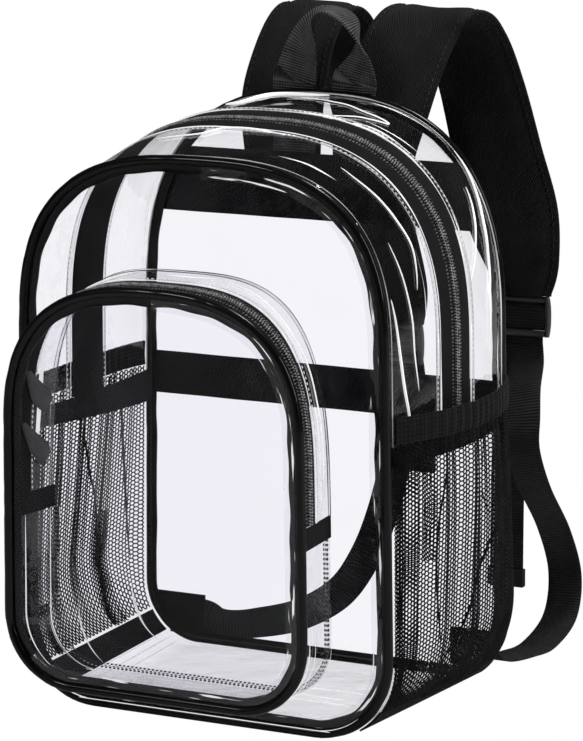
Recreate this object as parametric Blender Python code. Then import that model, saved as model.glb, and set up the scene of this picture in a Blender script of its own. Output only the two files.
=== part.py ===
"""Clear stadium backpack at its real size: metres, +Z up, its front facing -Y.

While it is built the bag's front panel lies in the plane Y = 0 and its back panel at
Y = DEPTH. A parent empty then moves the whole bag, so that the origin is under the
middle of its box.
"""
import math
from collections import namedtuple

import bmesh
import bpy
from mathutils import Matrix, Vector

# Body
BACK_HEIGHT = 0.305
FRONT_HEIGHT = 0.286
FRONT_WIDTH = 0.2094
BACK_FLARE = 0.0026
BACK_WIDTH = FRONT_WIDTH + BACK_FLARE
DEPTH = 0.1333
SHEET = 0.0010
GAP = 0.0003
BASE_HEIGHT = 0.0010
RIGHT_SIDE_BULGE = 0.0100
LEFT_SIDE_BULGE = -0.0040
TOP_BULGE = 0.0057
LEAN = 0.034
FRONT_SHOULDER = 0.192
BACK_SHOULDER = 0.190
FRONT_CORNER = 0.041
BACK_CORNER = 0.031
FRONT_ROUNDNESS = 2.77
BACK_ROUNDNESS = 2.60

# Seams: a piping cord with its tape turned into the bag
CORD_RADIUS = 0.0025
TAPE_REACH = 0.0065
TAPE_THICKNESS = 0.0010

# Main zip and the strips where it ends
ZIP_DEPTH = 0.0584
ZIP_WIDTH = 0.0300
COIL_WIDTH = 0.0050
COIL_RISE = 0.0012
SIDE_TAPE_TOP = 0.1505
SIDE_TAPE_HEIGHT = 0.0095
LEFT_TAPE_SAG = 0.0080
RIGHT_TAPE_SAG = 0.0010

# Front pocket
POCKET_DEPTH = 0.0395
POCKET_WIDTH = 0.1675
POCKET_SEAM_WIDTH = 0.1598
POCKET_TOP = 0.2256
POCKET_SEAM_TOP = 0.2307
POCKET_BASE = 0.0212
POCKET_SHIFT = -0.0060
POCKET_SHOULDER = 0.152
POCKET_SEAM_SHOULDER = 0.105
POCKET_CORNER = 0.036
POCKET_SEAM_CORNER = 0.027
POCKET_ROUNDNESS = 2.58
POCKET_SEAM_ROUNDNESS = 3.39
POCKET_ZIP_WIDTH = 0.0150
POCKET_ZIP_END = 0.1150
POCKET_TAB_HEIGHT = 0.0110

# Side pockets
MESH_BOTTOM = 0.0175
MESH_RISE = 0.0020
MESH_TOP = SIDE_TAPE_TOP + MESH_RISE
MESH_THICKNESS = 0.0010
MESH_BILLOW = 0.0160
MESH_FOLD = 0.0016
MESH_FOLDS = 5
MESH_FOOT = 0.15
MESH_BELLY = 0.31
MESH_FOLD_START = 0.17
FACET_ROOM = 0.0007
ELASTIC_HEIGHT = 0.0130
ELASTIC_THICKNESS = 0.0015
HEM_BOTTOM = 0.0075

# Bands on the back panel
YOKE_BOTTOM = 0.238
YOKE_TOP = 0.273
BACK_BAND_BOTTOM = 0.1375
BACK_BAND_TOP = 0.1605
BAND_THICKNESS = 0.0014

# Carrying gear
HANDLE_WIDTH = 0.025
HANDLE_THICKNESS = 0.0016
HANDLE_LEG = 0.0175
STRAP_WIDTH = 0.050
STRAP_THICKNESS = 0.0060
STRAP_EDGE = 0.0022
STRAP_BINDING = 0.0060
WEBBING_WIDTH = 0.020
WEBBING_THICKNESS = 0.0014
BUCKLE_WIDTH = 0.031
BUCKLE_HEIGHT = 0.022
BUCKLE_THICKNESS = 0.0040
BUCKLE_BAR = 0.0035
BUCKLE_SLOT = 0.0050
BUCKLE_DROP = BUCKLE_HEIGHT + 7 * GAP
TAIL_OFFSET = BUCKLE_THICKNESS / 2 + 2 * GAP + WEBBING_THICKNESS / 2
TAIL_OVERLAP = 0.0095
STRAP_HANG = 0.0840
RIGHT_STRAP_END = 0.1905
LEFT_STRAP_END = 0.1700
ANCHOR_INNER = 0.0740
ANCHOR_BOTTOM = 0.0060
ANCHOR_TOP = 0.0260

# Zip sliders and their ribbon pulls
SLIDER_LENGTH = 0.0110
SLIDER_WIDTH = 0.0080
SLIDER_THICKNESS = 0.0030
PULL_THICKNESS = 0.0012
PULL_LENGTH = 0.0240
PULL_WIDTH = 0.0160
PULL_SWING = 0.0180
MAIN_SLIDER_HEIGHT = 0.196
POCKET_SLIDER_HEIGHT = 0.152
POCKET_SLIDER_CLEARANCE = 0.003

# Smoothness of the curved pieces
ARCH_STEPS = 22
CORNER_STEPS = 6
CORD_SIDES = 8

# Planes behind the back panel, one layer on the next
YOKE_Y = DEPTH + SHEET / 2 + GAP + BAND_THICKNESS / 2
HANDLE_Y = DEPTH + CORD_RADIUS + GAP + HANDLE_THICKNESS / 2
STRAP_Y = HANDLE_Y + HANDLE_THICKNESS / 2 + GAP + STRAP_THICKNESS / 2
ANCHOR_Y = DEPTH + CORD_RADIUS + GAP + WEBBING_THICKNESS / 2
SEWN_Y = ANCHOR_Y + WEBBING_THICKNESS + GAP
BUCKLE_Y = STRAP_Y + STRAP_HANG


class Outline:
    """A panel's outline: rounded foot, straight sides and a superelliptic arch."""

    def __init__(self, width, height, shoulder, roundness, corner, base):
        self.width = width
        self.height = height
        self.shoulder = shoulder
        self.roundness = roundness
        self.corner = corner
        self.base = base
        self.right_bulge = 0.0
        self.left_bulge = 0.0

    def spread(self, x, z):
        """Leans a side in towards the top and lets it swell, or sink, above the foot."""
        bulge = self.right_bulge if x > 0 else self.left_bulge
        rise = min(1.0, max(0.0, z / SIDE_TAPE_TOP))
        swell = 2 * bulge / self.width * rise * rise * (3 - 2 * rise)
        return x * (1 - LEAN * (z - self.base) / self.height + swell)

    def half_width(self, z, side=1):
        """The outline's distance from its middle at height z; side is 1 for right, -1 for left."""
        half = self.width / 2
        if z < self.base + self.corner:
            drop = self.base + self.corner - z
            half = half - self.corner + math.sqrt(max(0.0, self.corner**2 - drop**2))
        elif z > self.shoulder:
            share = min(1.0, (z - self.shoulder) / (self.height - self.shoulder))
            half = half * (1 - share**self.roundness) ** (1 / self.roundness)
        return side * self.spread(side * half, z)

    def inner_half_width(self, z, distance):
        """Half the width at height z of the outline moved inwards by a distance."""
        step = SHEET
        slope = (self.half_width(z + step) - self.half_width(z - step)) / (2 * step)
        return self.half_width(z) - distance * math.hypot(1, slope)

    def arch(self, start):
        """Points from the right side at height start, over the top, to the left side."""
        power = 2 / self.roundness
        share = max(0.0, start - self.shoulder) / (self.height - self.shoulder)
        low = math.asin(share ** (1 / power))
        straight = start < self.shoulder
        steps = ARCH_STEPS if straight else ARCH_STEPS + 2
        points = []
        for step in range(steps + 1):
            angle = low + (math.pi - 2 * low) * step / steps
            c = math.cos(angle)
            s = math.sin(angle)
            x = math.copysign(self.width / 2 * abs(c) ** power, c)
            z = self.shoulder + (self.height - self.shoulder) * abs(s) ** power
            points.append((self.spread(x, z), z))
        if straight:
            points.insert(0, (self.half_width(start), start))
            points.append((-self.half_width(start, -1), start))
        return points

    def foot(self, end):
        """Points from the left side at height end, round the foot, to the right side."""
        halves = []
        for side in (-1, 1):
            points = [(side * self.half_width(end, side), end)]
            for step in range(CORNER_STEPS + 1):
                angle = math.pi / 2 * step / CORNER_STEPS
                x = self.width / 2 - self.corner + self.corner * math.cos(angle)
                z = self.base + self.corner - self.corner * math.sin(angle)
                points.append((self.spread(side * x, z), z))
            halves.append(points)
        left, right = halves
        return left + right[::-1]

    def loop(self):
        """The whole outline, anticlockwise seen from the front."""
        level = (self.shoulder + self.base + self.corner) / 2
        return self.arch(level) + self.foot(level)[1:-1]


FRONT = Outline(FRONT_WIDTH, FRONT_HEIGHT, FRONT_SHOULDER, FRONT_ROUNDNESS, FRONT_CORNER, CORD_RADIUS)
BACK = Outline(BACK_WIDTH, BACK_HEIGHT, BACK_SHOULDER, BACK_ROUNDNESS, BACK_CORNER, CORD_RADIUS)
POCKET = Outline(POCKET_WIDTH, POCKET_TOP, POCKET_SHOULDER, POCKET_ROUNDNESS, POCKET_CORNER, POCKET_BASE)
POCKET_SEAM = Outline(POCKET_SEAM_WIDTH, POCKET_SEAM_TOP, POCKET_SEAM_SHOULDER, POCKET_SEAM_ROUNDNESS,
                      POCKET_SEAM_CORNER, POCKET_BASE)


def blend(first, second, share):
    """An outline between two others."""
    names = ("width", "height", "shoulder", "roundness", "corner", "base")
    mixed = [getattr(first, n) * (1 - share) + getattr(second, n) * share for n in names]
    return Outline(*mixed)


def shell_outline(y):
    """The body's outline at depth y, swollen most along the main zip."""
    share = y / DEPTH
    zip_share = ZIP_DEPTH / DEPTH
    crown = share * (1 - share) / (zip_share * (1 - zip_share))
    outline = blend(FRONT, BACK, share)
    outline.base = BASE_HEIGHT
    outline.height += TOP_BULGE * crown
    outline.right_bulge = RIGHT_SIDE_BULGE * crown
    outline.left_bulge = LEFT_SIDE_BULGE * crown
    return outline


def pocket_outline(y):
    """The front pocket's outline at depth y, from the pocket's face to its seam."""
    return blend(POCKET, POCKET_SEAM, 1 + y / POCKET_DEPTH)


def normals(points, closed):
    """Outward unit normals along an anticlockwise path of (x, z) points."""
    result = []
    last = len(points) - 1
    for i in range(len(points)):
        before = points[i - 1] if closed or i > 0 else points[i]
        after = points[(i + 1) % len(points)] if closed or i < last else points[i]
        dx = after[0] - before[0]
        dz = after[1] - before[1]
        length = math.hypot(dx, dz)
        result.append((dz / length, -dx / length))
    return result


def inset(points, distance):
    """A closed path moved inwards by a distance."""
    moved = []
    for (x, z), (nx, nz) in zip(points, normals(points, True)):
        moved.append((x - nx * distance, z - nz * distance))
    return moved


def spread_values(start, end, count):
    """Evenly spaced values from start to end, both included."""
    return [start + (end - start) * i / (count - 1) for i in range(count)]


# Materials

COLOURS = {
    "clear_pvc": ((0.93, 0.93, 0.96), 0.08),
    "black_piping": ((0.012, 0.012, 0.013), 0.30),
    "black_twill": ((0.014, 0.014, 0.015), 0.85),
    "black_zip": ((0.016, 0.016, 0.018), 0.60),
    "black_mesh": ((0.015, 0.015, 0.016), 0.75),
    "black_webbing": ((0.018, 0.018, 0.020), 0.80),
    "grey_plastic": ((0.045, 0.046, 0.050), 0.40),
    "grey_ribbon": ((0.10, 0.10, 0.11), 0.45),
}


def material(name):
    """The named material, made the first time that it is asked for."""
    found = bpy.data.materials.get(name)
    if found:
        return found
    colour, roughness = COLOURS[name]
    made = bpy.data.materials.new(name)
    made.use_nodes = True
    shader = made.node_tree.nodes["Principled BSDF"]
    shader.inputs["Base Color"].default_value = (*colour, 1.0)
    shader.inputs["Roughness"].default_value = roughness
    shader.inputs["Metallic"].default_value = 0.0
    if name == "clear_pvc":
        shader.inputs["Transmission Weight"].default_value = 1.0
        shader.inputs["IOR"].default_value = 1.5
    made.diffuse_color = (*colour, 1.0)
    return made


# Ways of making a piece

def add_object(name, mesh, slot, parent):
    """Puts a finished mesh into the scene under the bag's empty."""
    mesh.materials.append(material(slot))
    mesh.shade_smooth()
    mesh.set_sharp_from_angle(angle=math.radians(35))
    piece = bpy.data.objects.new(name, mesh)
    piece.parent = parent
    bpy.context.scene.collection.objects.link(piece)
    return piece


def solidify(piece, thickness):
    """Gives a surface its thickness, half to each side."""
    shell = piece.modifiers.new("thickness", "SOLIDIFY")
    shell.thickness = thickness
    shell.offset = 0.0
    shell.use_even_offset = True
    return piece


def sheet(name, rows, thickness, slot, parent):
    """A sheet through rows of points, each row of the same length."""
    made = bmesh.new()
    grid = [[made.verts.new(point) for point in row] for row in rows]
    for low, high in zip(grid, grid[1:]):
        for i in range(len(low) - 1):
            made.faces.new((low[i], low[i + 1], high[i + 1], high[i]))
    mesh = bpy.data.meshes.new(name)
    made.to_mesh(mesh)
    made.free()
    return solidify(add_object(name, mesh, slot, parent), thickness)


def plate(name, points, y, thickness, slot, parent):
    """A flat sheet in the XZ plane inside a path of (x, z) points."""
    made = bmesh.new()
    made.faces.new([made.verts.new((x, y, z)) for x, z in points])
    mesh = bpy.data.meshes.new(name)
    made.to_mesh(mesh)
    made.free()
    return solidify(add_object(name, mesh, slot, parent), thickness)


def tube(name, rings, closed, slot, parent):
    """A solid through rings of points: closed on itself, or capped at both ends."""
    made = bmesh.new()
    loops = [[made.verts.new(point) for point in ring] for ring in rings]
    pairs = list(zip(loops, loops[1:]))
    if closed:
        pairs.append((loops[-1], loops[0]))
    for low, high in pairs:
        for i in range(len(low)):
            j = (i + 1) % len(low)
            made.faces.new((low[i], low[j], high[j], high[i]))
    if not closed:
        made.faces.new(list(reversed(loops[0])))
        made.faces.new(loops[-1])
    bmesh.ops.recalc_face_normals(made, faces=made.faces)
    bmesh.ops.triangulate(made, faces=made.faces)
    mesh = bpy.data.meshes.new(name)
    made.to_mesh(mesh)
    made.free()
    return add_object(name, mesh, slot, parent)


# Seams

def piping_profile(side):
    """The cord's round with its tape, as (inward, depth) pairs; side is the way in."""
    near = SHEET / 2 + GAP
    far = near + TAPE_THICKNESS
    start = math.asin(far / CORD_RADIUS)
    end = 2 * math.pi + math.asin(near / CORD_RADIUS)
    profile = [(TAPE_REACH, side * near), (TAPE_REACH, side * far)]
    for angle in spread_values(start, end, CORD_SIDES):
        profile.append((CORD_RADIUS * math.cos(angle), side * CORD_RADIUS * math.sin(angle)))
    return profile


def piping(name, outline, y, side, shift, parent):
    """The piping round one panel."""
    points = outline.loop()
    profile = piping_profile(side)
    rings = []
    for (x, z), (nx, nz) in zip(points, normals(points, True)):
        rings.append([(x + shift - nx * a, y + b, z - nz * a) for a, b in profile])
    tube(name, rings, True, "black_piping", parent)


def panel(name, outline, y, shift, parent):
    """The clear panel inside a piping."""
    points = [(x + shift, z) for x, z in inset(outline.loop(), CORD_RADIUS + GAP)]
    plate(name, points, y, SHEET, "clear_pvc", parent)


# Body

def gusset_arch(name, start, end, columns, slot, parent, outline_at, level, shift=0.0):
    """A strip over the top, from the height level on one side to the other."""
    rows = []
    for y in spread_values(start, end, columns):
        rows.append([(x + shift, y, z) for x, z in outline_at(y).arch(level)])
    return sheet(name, rows, SHEET, slot, parent)


def zip_arch(name, start, end, outline_at, level, shift, parent):
    """A zip's tape over the top, with its coil as a low ridge along the middle."""
    middle = (start + end) / 2
    half = COIL_WIDTH / 2
    under = -SHEET / 2
    over = SHEET / 2
    crest = over + COIL_RISE
    profile = [(start, under), (end, under), (end, over), (middle + half, over),
               (middle + half / 2, crest), (middle - half / 2, crest), (middle - half, over), (start, over)]
    columns = []
    for y, height in profile:
        points = outline_at(y).arch(level)
        column = []
        for (x, z), (nx, nz) in zip(points, normals(points, False)):
            column.append((x + shift + nx * height, y, z + nz * height))
        columns.append(column)
    tube(name, list(zip(*columns)), False, "black_zip", parent)


def side_strip(name, side, bottom, top, rows, columns, thickness, slot, parent, lift=None):
    """A sheet on one side of the body, lifted off it by lift(along, up).

    Its bottom and top are pairs of heights: at the front seam and at the back seam.
    """
    grid = []
    inner = CORD_RADIUS + GAP
    for y in spread_values(inner, DEPTH - inner, columns):
        outline = shell_outline(y)
        along = (y - inner) / (DEPTH - 2 * inner)
        low = bottom[0] + (bottom[1] - bottom[0]) * along
        high = top[0] + (top[1] - top[0]) * along
        line = []
        for z in spread_values(low, high, rows):
            x = outline.half_width(z, side)
            slope = (outline.half_width(z + SHEET, side) - outline.half_width(z - SHEET, side)) / (2 * SHEET)
            length = math.hypot(1, slope)
            out = lift(along, (z - low) / (high - low)) if lift else 0.0
            line.append((side * (x + out / length), y, z - out * slope / length))
        grid.append(line)
    return sheet(name, grid, thickness, slot, parent)


def build_body(parent):
    """The clear panels and gussets, their piping, the main zip and the side tapes."""
    inner = CORD_RADIUS + GAP
    zip_start = ZIP_DEPTH - ZIP_WIDTH / 2
    zip_end = ZIP_DEPTH + ZIP_WIDTH / 2
    level = SIDE_TAPE_TOP + GAP
    panel("front_panel", FRONT, 0.0, 0.0, parent)
    panel("back_panel", BACK, DEPTH, 0.0, parent)
    piping("front_piping", FRONT, 0.0, 1, 0.0, parent)
    piping("back_piping", BACK, DEPTH, -1, 0.0, parent)
    gusset_arch("front_gusset", inner, zip_start - GAP, 4, "clear_pvc", parent, shell_outline, level)
    gusset_arch("back_gusset", zip_end + GAP, DEPTH - inner, 5, "clear_pvc", parent, shell_outline, level)
    zip_arch("main_zipper", zip_start, zip_end, shell_outline, level, 0.0, parent)
    foot_top = max(FRONT.corner, BACK.corner) + CORD_RADIUS
    for side, word, sag in ((-1, "left", LEFT_TAPE_SAG), (1, "right", RIGHT_TAPE_SAG)):
        front = SIDE_TAPE_TOP - SIDE_TAPE_HEIGHT
        side_strip(word + "_side_tape", side, (front, front - sag), (SIDE_TAPE_TOP, SIDE_TAPE_TOP), 2, 8, SHEET,
                   "black_twill", parent)
        side_strip(word + "_side_panel", side, (foot_top + GAP, foot_top + GAP), (front - GAP, front - sag - GAP),
                   5, 8, SHEET, "clear_pvc", parent)
    rows = []
    for y in spread_values(inner, DEPTH - inner, 6):
        rows.append([(x, y, z) for x, z in shell_outline(y).foot(foot_top)])
    sheet("base_panel", rows, SHEET, "clear_pvc", parent)


# Front pocket

def build_pocket(parent):
    """The front pocket: its clear face and gussets, piping, zip and end tabs."""
    front = -POCKET_DEPTH
    inner = CORD_RADIUS + GAP
    zip_start = front + inner
    zip_end = zip_start + POCKET_ZIP_WIDTH
    seam = -SHEET / 2 - GAP
    level = POCKET_ZIP_END + GAP
    panel("pocket_panel", POCKET, front, POCKET_SHIFT, parent)
    piping("pocket_piping", POCKET, front, 1, POCKET_SHIFT, parent)
    zip_arch("pocket_zipper", zip_start, zip_end, pocket_outline, level, POCKET_SHIFT, parent)
    gusset_arch("pocket_gusset", zip_end + GAP, seam - SHEET / 2, 3, "clear_pvc", parent,
                pocket_outline, level, POCKET_SHIFT)
    foot_top = POCKET_ZIP_END - POCKET_TAB_HEIGHT
    rows = []
    for y in spread_values(zip_start, seam - SHEET / 2, 4):
        rows.append([(x + POCKET_SHIFT, y, z) for x, z in pocket_outline(y).foot(foot_top - GAP)])
    sheet("pocket_base_gusset", rows, SHEET, "clear_pvc", parent)
    for side, word in ((-1, "left"), (1, "right")):
        grid = []
        for y in (zip_start, (zip_start + seam) / 2, seam - SHEET / 2):
            outline = pocket_outline(y)
            grid.append([(side * outline.half_width(z, side) + POCKET_SHIFT, y, z)
                         for z in (foot_top, POCKET_ZIP_END)])
        sheet("pocket_tab_" + word, grid, SHEET, "black_twill", parent)


# Side pockets

# How far the net stands off the side along its depth, from the front seam to the back
# seam, at its mouth and at its belly, as shares of the billow
Billow = namedtuple("Billow", "along mouth belly")
BILLOW_TABLE = (
    (0.00, 0.02, 0.02),
    (0.10, 0.24, 0.35),
    (0.25, 0.42, 0.68),
    (0.45, 0.50, 0.95),
    (0.65, 0.46, 1.08),
    (0.85, 0.32, 0.98),
    (0.95, 0.16, 0.50),
    (1.00, 0.02, 0.02),
)


def billow_at(along):
    """The billow table's row at a share of the pocket's depth, in straight steps."""
    for low, high in zip(BILLOW_TABLE, BILLOW_TABLE[1:]):
        if along <= high[0]:
            part = (along - low[0]) / (high[0] - low[0])
            return Billow(*[a * (1 - part) + b * part for a, b in zip(low, high)])
    return Billow(*BILLOW_TABLE[-1])


def mesh_lift(along, up):
    """How far the net stands off the side: a billow with folds that run down from the mouth."""
    row = billow_at(along)
    fullness = MESH_FOOT + (1 - MESH_FOOT) * math.sin(math.pi / 2 * min(1.0, up / MESH_BELLY))
    billow = MESH_BILLOW * (row.mouth * up + row.belly * (1 - up) * fullness)
    edge = math.sin(math.pi * along)
    fade = (1 + 2 * up) / 3 * min(1.0, up / MESH_FOLD_START)
    fold = MESH_FOLD * math.cos(2 * math.pi * MESH_FOLDS * along) * edge * fade
    clear = SHEET / 2 + GAP + MESH_THICKNESS / 2 + FACET_ROOM
    return clear + max(0.0, billow + fold)


def elastic_lift(along, up):
    """The elastic continues the pocket's mouth without its folds."""
    clear = SHEET / 2 + GAP + ELASTIC_THICKNESS / 2
    return clear + FACET_ROOM + MESH_BILLOW * billow_at(along).mouth


def build_mesh_pocket(side, word, parent):
    """One side pocket: its net, the elastic at its mouth and the hem at its foot."""
    elastic_bottom = MESH_TOP + GAP
    elastic_top = elastic_bottom + ELASTIC_HEIGHT
    hem_top = MESH_BOTTOM - GAP
    side_strip(word + "_mesh_pocket", side, (MESH_BOTTOM, MESH_BOTTOM), (MESH_TOP, MESH_TOP), 12,
               4 * MESH_FOLDS + 1, MESH_THICKNESS, "black_mesh", parent, mesh_lift)
    side_strip(word + "_elastic", side, (elastic_bottom, elastic_bottom), (elastic_top, elastic_top), 3, 13,
               ELASTIC_THICKNESS, "black_twill", parent, elastic_lift)
    side_strip(word + "_hem", side, (HEM_BOTTOM, HEM_BOTTOM), (hem_top, hem_top), 3, 9, MESH_THICKNESS,
               "black_twill", parent, lambda along, up: SHEET + GAP + FACET_ROOM)


# Back bands

def build_back_bands(parent):
    """The yoke that carries the straps, and the plain band below it."""
    margin = CORD_RADIUS + 2 * GAP
    for name, bottom, top in (("yoke", YOKE_BOTTOM, YOKE_TOP), ("back_band", BACK_BAND_BOTTOM, BACK_BAND_TOP)):
        right = [(BACK.inner_half_width(z, margin), z) for z in spread_values(bottom, top, 5)]
        left = [(-x, z) for x, z in reversed(right)]
        plate(name, right + left, YOKE_Y, BAND_THICKNESS, "black_twill", parent)


# Straps and webbing

def curve_rows(rows, steps):
    """A smooth run of rows through a table's rows, by Catmull-Rom."""
    padded = [rows[0], *rows, rows[-1]]
    result = []
    for a, b, c, d in zip(padded, padded[1:], padded[2:], padded[3:]):
        for step in range(steps):
            t = step / steps
            row = []
            for p, q, r, s in zip(a, b, c, d):
                row.append(0.5 * (2 * q + (r - p) * t + (2 * p - 5 * q + 4 * r - s) * t**2
                                  + (3 * q - p - 3 * r + s) * t**3))
            result.append(tuple(row))
    result.append(tuple(rows[-1]))
    return result


def band(name, rows, steps, outline, slot, parent):
    """A flat band along a route; outline(width) gives its section as (across, out) pairs.

    Each row holds x, y, z, width, turn and tilt: the band's width direction is +X turned
    about Z by turn and raised by tilt, in degrees.
    """
    path = curve_rows(rows, steps)
    rings = []
    for i, row in enumerate(path):
        centre = Vector(row[:3])
        after = Vector(path[min(i + 1, len(path) - 1)][:3])
        before = Vector(path[max(i - 1, 0)][:3])
        along = (after - before).normalized()
        turn = math.radians(row[4])
        tilt = math.radians(row[5])
        across = Vector((math.cos(turn) * math.cos(tilt), math.sin(turn) * math.cos(tilt), math.sin(tilt)))
        across = (across - along * across.dot(along)).normalized()
        out = across.cross(along).normalized()
        rings.append([centre + across * a + out * b for a, b in outline(row[3])])
    tube(name, rings, False, slot, parent)


def flat_section(thickness):
    """A plain rectangular section."""
    half = thickness / 2
    return lambda width: [(-width / 2, -half), (width / 2, -half), (width / 2, half), (-width / 2, half)]


def padded_section(width):
    """A padded strap's section: thin bound edges and a full middle."""
    edge = STRAP_EDGE / 2
    half = STRAP_THICKNESS / 2
    inner = width / 2 - STRAP_BINDING
    outer = width / 2
    upper = [(outer, -edge), (outer, edge), (inner, half), (-inner, half)]
    return upper + [(-outer, edge), (-outer, -edge), (-inner, -half), (inner, -half)]


# The routes of the straps and webbings. In a table, x is a share of half the back's width,
# out a share of the straps' hang behind the back, up a share of the height between the
# route's low and high ends, and width a share of the band's full width. Turn and tilt are
# degrees.
Row = namedtuple("Row", "x out up width turn tilt")
RIGHT_STRAP_TABLE = (
    (0.250, 0.000, 0.485, 0.90, 0, 0),
    (0.255, 0.006, 0.694, 0.90, 0, 0),
    (0.292, 0.095, 0.956, 1.00, 2, 0),
    (0.330, 0.250, 1.192, 1.00, 6, 0),
    (0.377, 0.417, 1.323, 1.00, 6, 0),
    (0.439, 0.595, 1.332, 1.00, 3, 0),
    (0.462, 0.786, 1.210, 1.00, 0, 0),
    (0.514, 0.893, 0.974, 1.00, 2, 0),
    (0.590, 0.940, 0.651, 1.00, 8, 0),
    (0.665, 0.964, 0.362, 1.00, 15, 0),
    (0.709, 1.000, 0.135, 0.81, 10, 0),
    (0.717, 1.000, 0.000, 0.62, 4, 0),
)
LEFT_STRAP_TABLE = (
    (-0.250, 0.000, 0.563, 0.90, 0, 0),
    (-0.255, 0.006, 0.741, 0.90, 0, 0),
    (-0.288, 0.095, 0.963, 1.00, -2, 0),
    (-0.283, 0.250, 1.163, 1.00, -8, 0),
    (-0.259, 0.417, 1.281, 1.00, -10, 0),
    (-0.241, 0.595, 1.289, 1.00, -10, 0),
    (-0.226, 0.786, 1.178, 1.00, -12, 0),
    (-0.184, 0.893, 0.948, 1.00, -18, 0),
    (-0.123, 0.940, 0.681, 1.00, -23, 0),
    (-0.057, 0.964, 0.407, 1.00, -25, 0),
    (0.011, 1.000, 0.148, 0.81, -16, 0),
    (0.019, 1.000, 0.000, 0.62, -10, 0),
)
RIGHT_WEBBING_TABLE = (
    (0.726, 1.000, 1.000, 1.00, 4, 0),
    (0.728, 0.995, 0.970, 1.00, 4, 0),
    (0.755, 0.929, 0.922, 1.00, 0, 0),
    (0.802, 0.750, 0.859, 1.00, 0, 0),
    (0.840, 0.643, 0.775, 1.00, 0, 0),
    (0.849, 0.619, 0.679, 1.00, 0, 0),
    (0.849, 0.798, 0.535, 1.00, 0, 0),
    (0.849, 1.119, 0.361, 1.00, 0, 0),
    (0.858, 1.286, 0.192, 1.00, 0, 0),
    (0.877, 1.155, 0.060, 1.00, 0, 0),
    (0.896, 0.762, 0.012, 1.00, 0, 0),
    (0.901, 0.417, 0.024, 1.00, 0, 0),
    (0.877, 0.131, 0.042, 1.00, 0, 0),
    (0.854, 0.018, 0.072, 1.00, 0, 0),
    (0.842, -0.0230, 0.114, 1.00, 0, 0),
    (0.840, -0.0298, 0.150, 1.00, 0, 0),
)
LEFT_WEBBING_TABLE = (
    (0.021, 1.000, 1.000, 1.00, -10, 0),
    (0.023, 0.998, 0.960, 1.00, -10, 0),
    (0.033, 0.976, 0.857, 1.00, -10, 0),
    (0.000, 0.940, 0.603, 1.00, -8, -8),
    (-0.052, 0.881, 0.411, 1.00, -10, -18),
    (-0.123, 0.810, 0.254, 1.00, -15, -30),
    (-0.222, 0.702, 0.130, 1.00, -30, -40),
    (-0.358, 0.488, 0.063, 1.00, -50, -40),
    (-0.509, 0.226, 0.051, 1.00, -72, -35),
    (-0.660, 0.095, 0.051, 1.00, -85, -38),
    (-0.755, 0.048, 0.075, 1.00, -90, -70),
    (-0.830, -0.0131, 0.082, 1.00, -90, -90),
    (-0.906, -0.0274, 0.086, 1.00, -90, -90),
)
RIGHT_TAIL_TABLE = (
    (0.665, 1.000, 1.000, 1.00, 4, 0),
    (0.642, 1.000, 0.850, 1.00, 2, 0),
    (0.618, 1.000, 0.500, 1.00, 0, 0),
    (0.613, 1.000, 0.150, 1.00, 0, 0),
)
LEFT_TAIL_TABLE = (
    (0.040, 1.000, 1.000, 1.00, -10, 0),
    (0.080, 1.000, 0.780, 1.00, -10, 0),
    (0.100, 1.000, 0.550, 1.00, -10, 0),
)
# The handle's x is a share of its legs' distance from the middle, out a share of its own
# width, and up a share of the back's height.
HANDLE_TABLE = (
    (-1.000, 0.000, 0.820, 1.00, 0, 0),
    (-1.000, 0.000, 0.934, 1.00, 0, 0),
    (-1.000, 0.000, 1.010, 1.00, 0, 0),
    (-0.943, 0.000, 1.026, 1.00, 0, 0),
    (-0.686, 0.040, 1.085, 1.00, -26, 0),
    (-0.171, -0.040, 1.131, 1.00, -58, 0),
    (0.457, -0.080, 1.141, 1.00, -84, 0),
    (1.000, -0.040, 1.118, 1.00, -78, 0),
    (1.171, 0.040, 1.072, 1.00, -48, 0),
    (1.057, 0.000, 1.026, 1.00, 0, 0),
    (1.000, 0.000, 1.010, 1.00, 0, 0),
    (1.000, 0.000, 0.934, 1.00, 0, 0),
    (1.000, 0.000, 0.820, 1.00, 0, 0),
)

# Ribbon pulls, narrow at the slider and full below it: each value a share of the pull's
# length, swing or width
Pull = namedtuple("Pull", "down back width")
PULL_TABLE = (
    (0.00, 0.00, 0.30),
    (0.30, 0.35, 0.62),
    (0.62, 0.75, 1.00),
    (0.85, 0.95, 0.70),
    (1.00, 1.00, 0.30),
)


def route(table, plane, low, high, full_width):
    """A table's rows as places in the bag, for band."""
    rows = []
    for row in map(Row._make, table):
        x = row.x * BACK_WIDTH / 2
        y = plane + row.out * (BUCKLE_Y - STRAP_Y)
        rows.append((x, y, low + row.up * (high - low), row.width * full_width, row.turn, row.tilt))
    return rows


def build_handle(parent):
    """The webbing handle, sewn to the yoke at both ends and turned half over between them."""
    rows = []
    for row in map(Row._make, HANDLE_TABLE):
        y = HANDLE_Y + row.out * HANDLE_WIDTH
        rows.append((row.x * HANDLE_LEG, y, row.up * BACK_HEIGHT, row.width * HANDLE_WIDTH, row.turn, row.tilt))
    band("handle", rows, 4, flat_section(HANDLE_THICKNESS), "black_webbing", parent)


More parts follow.
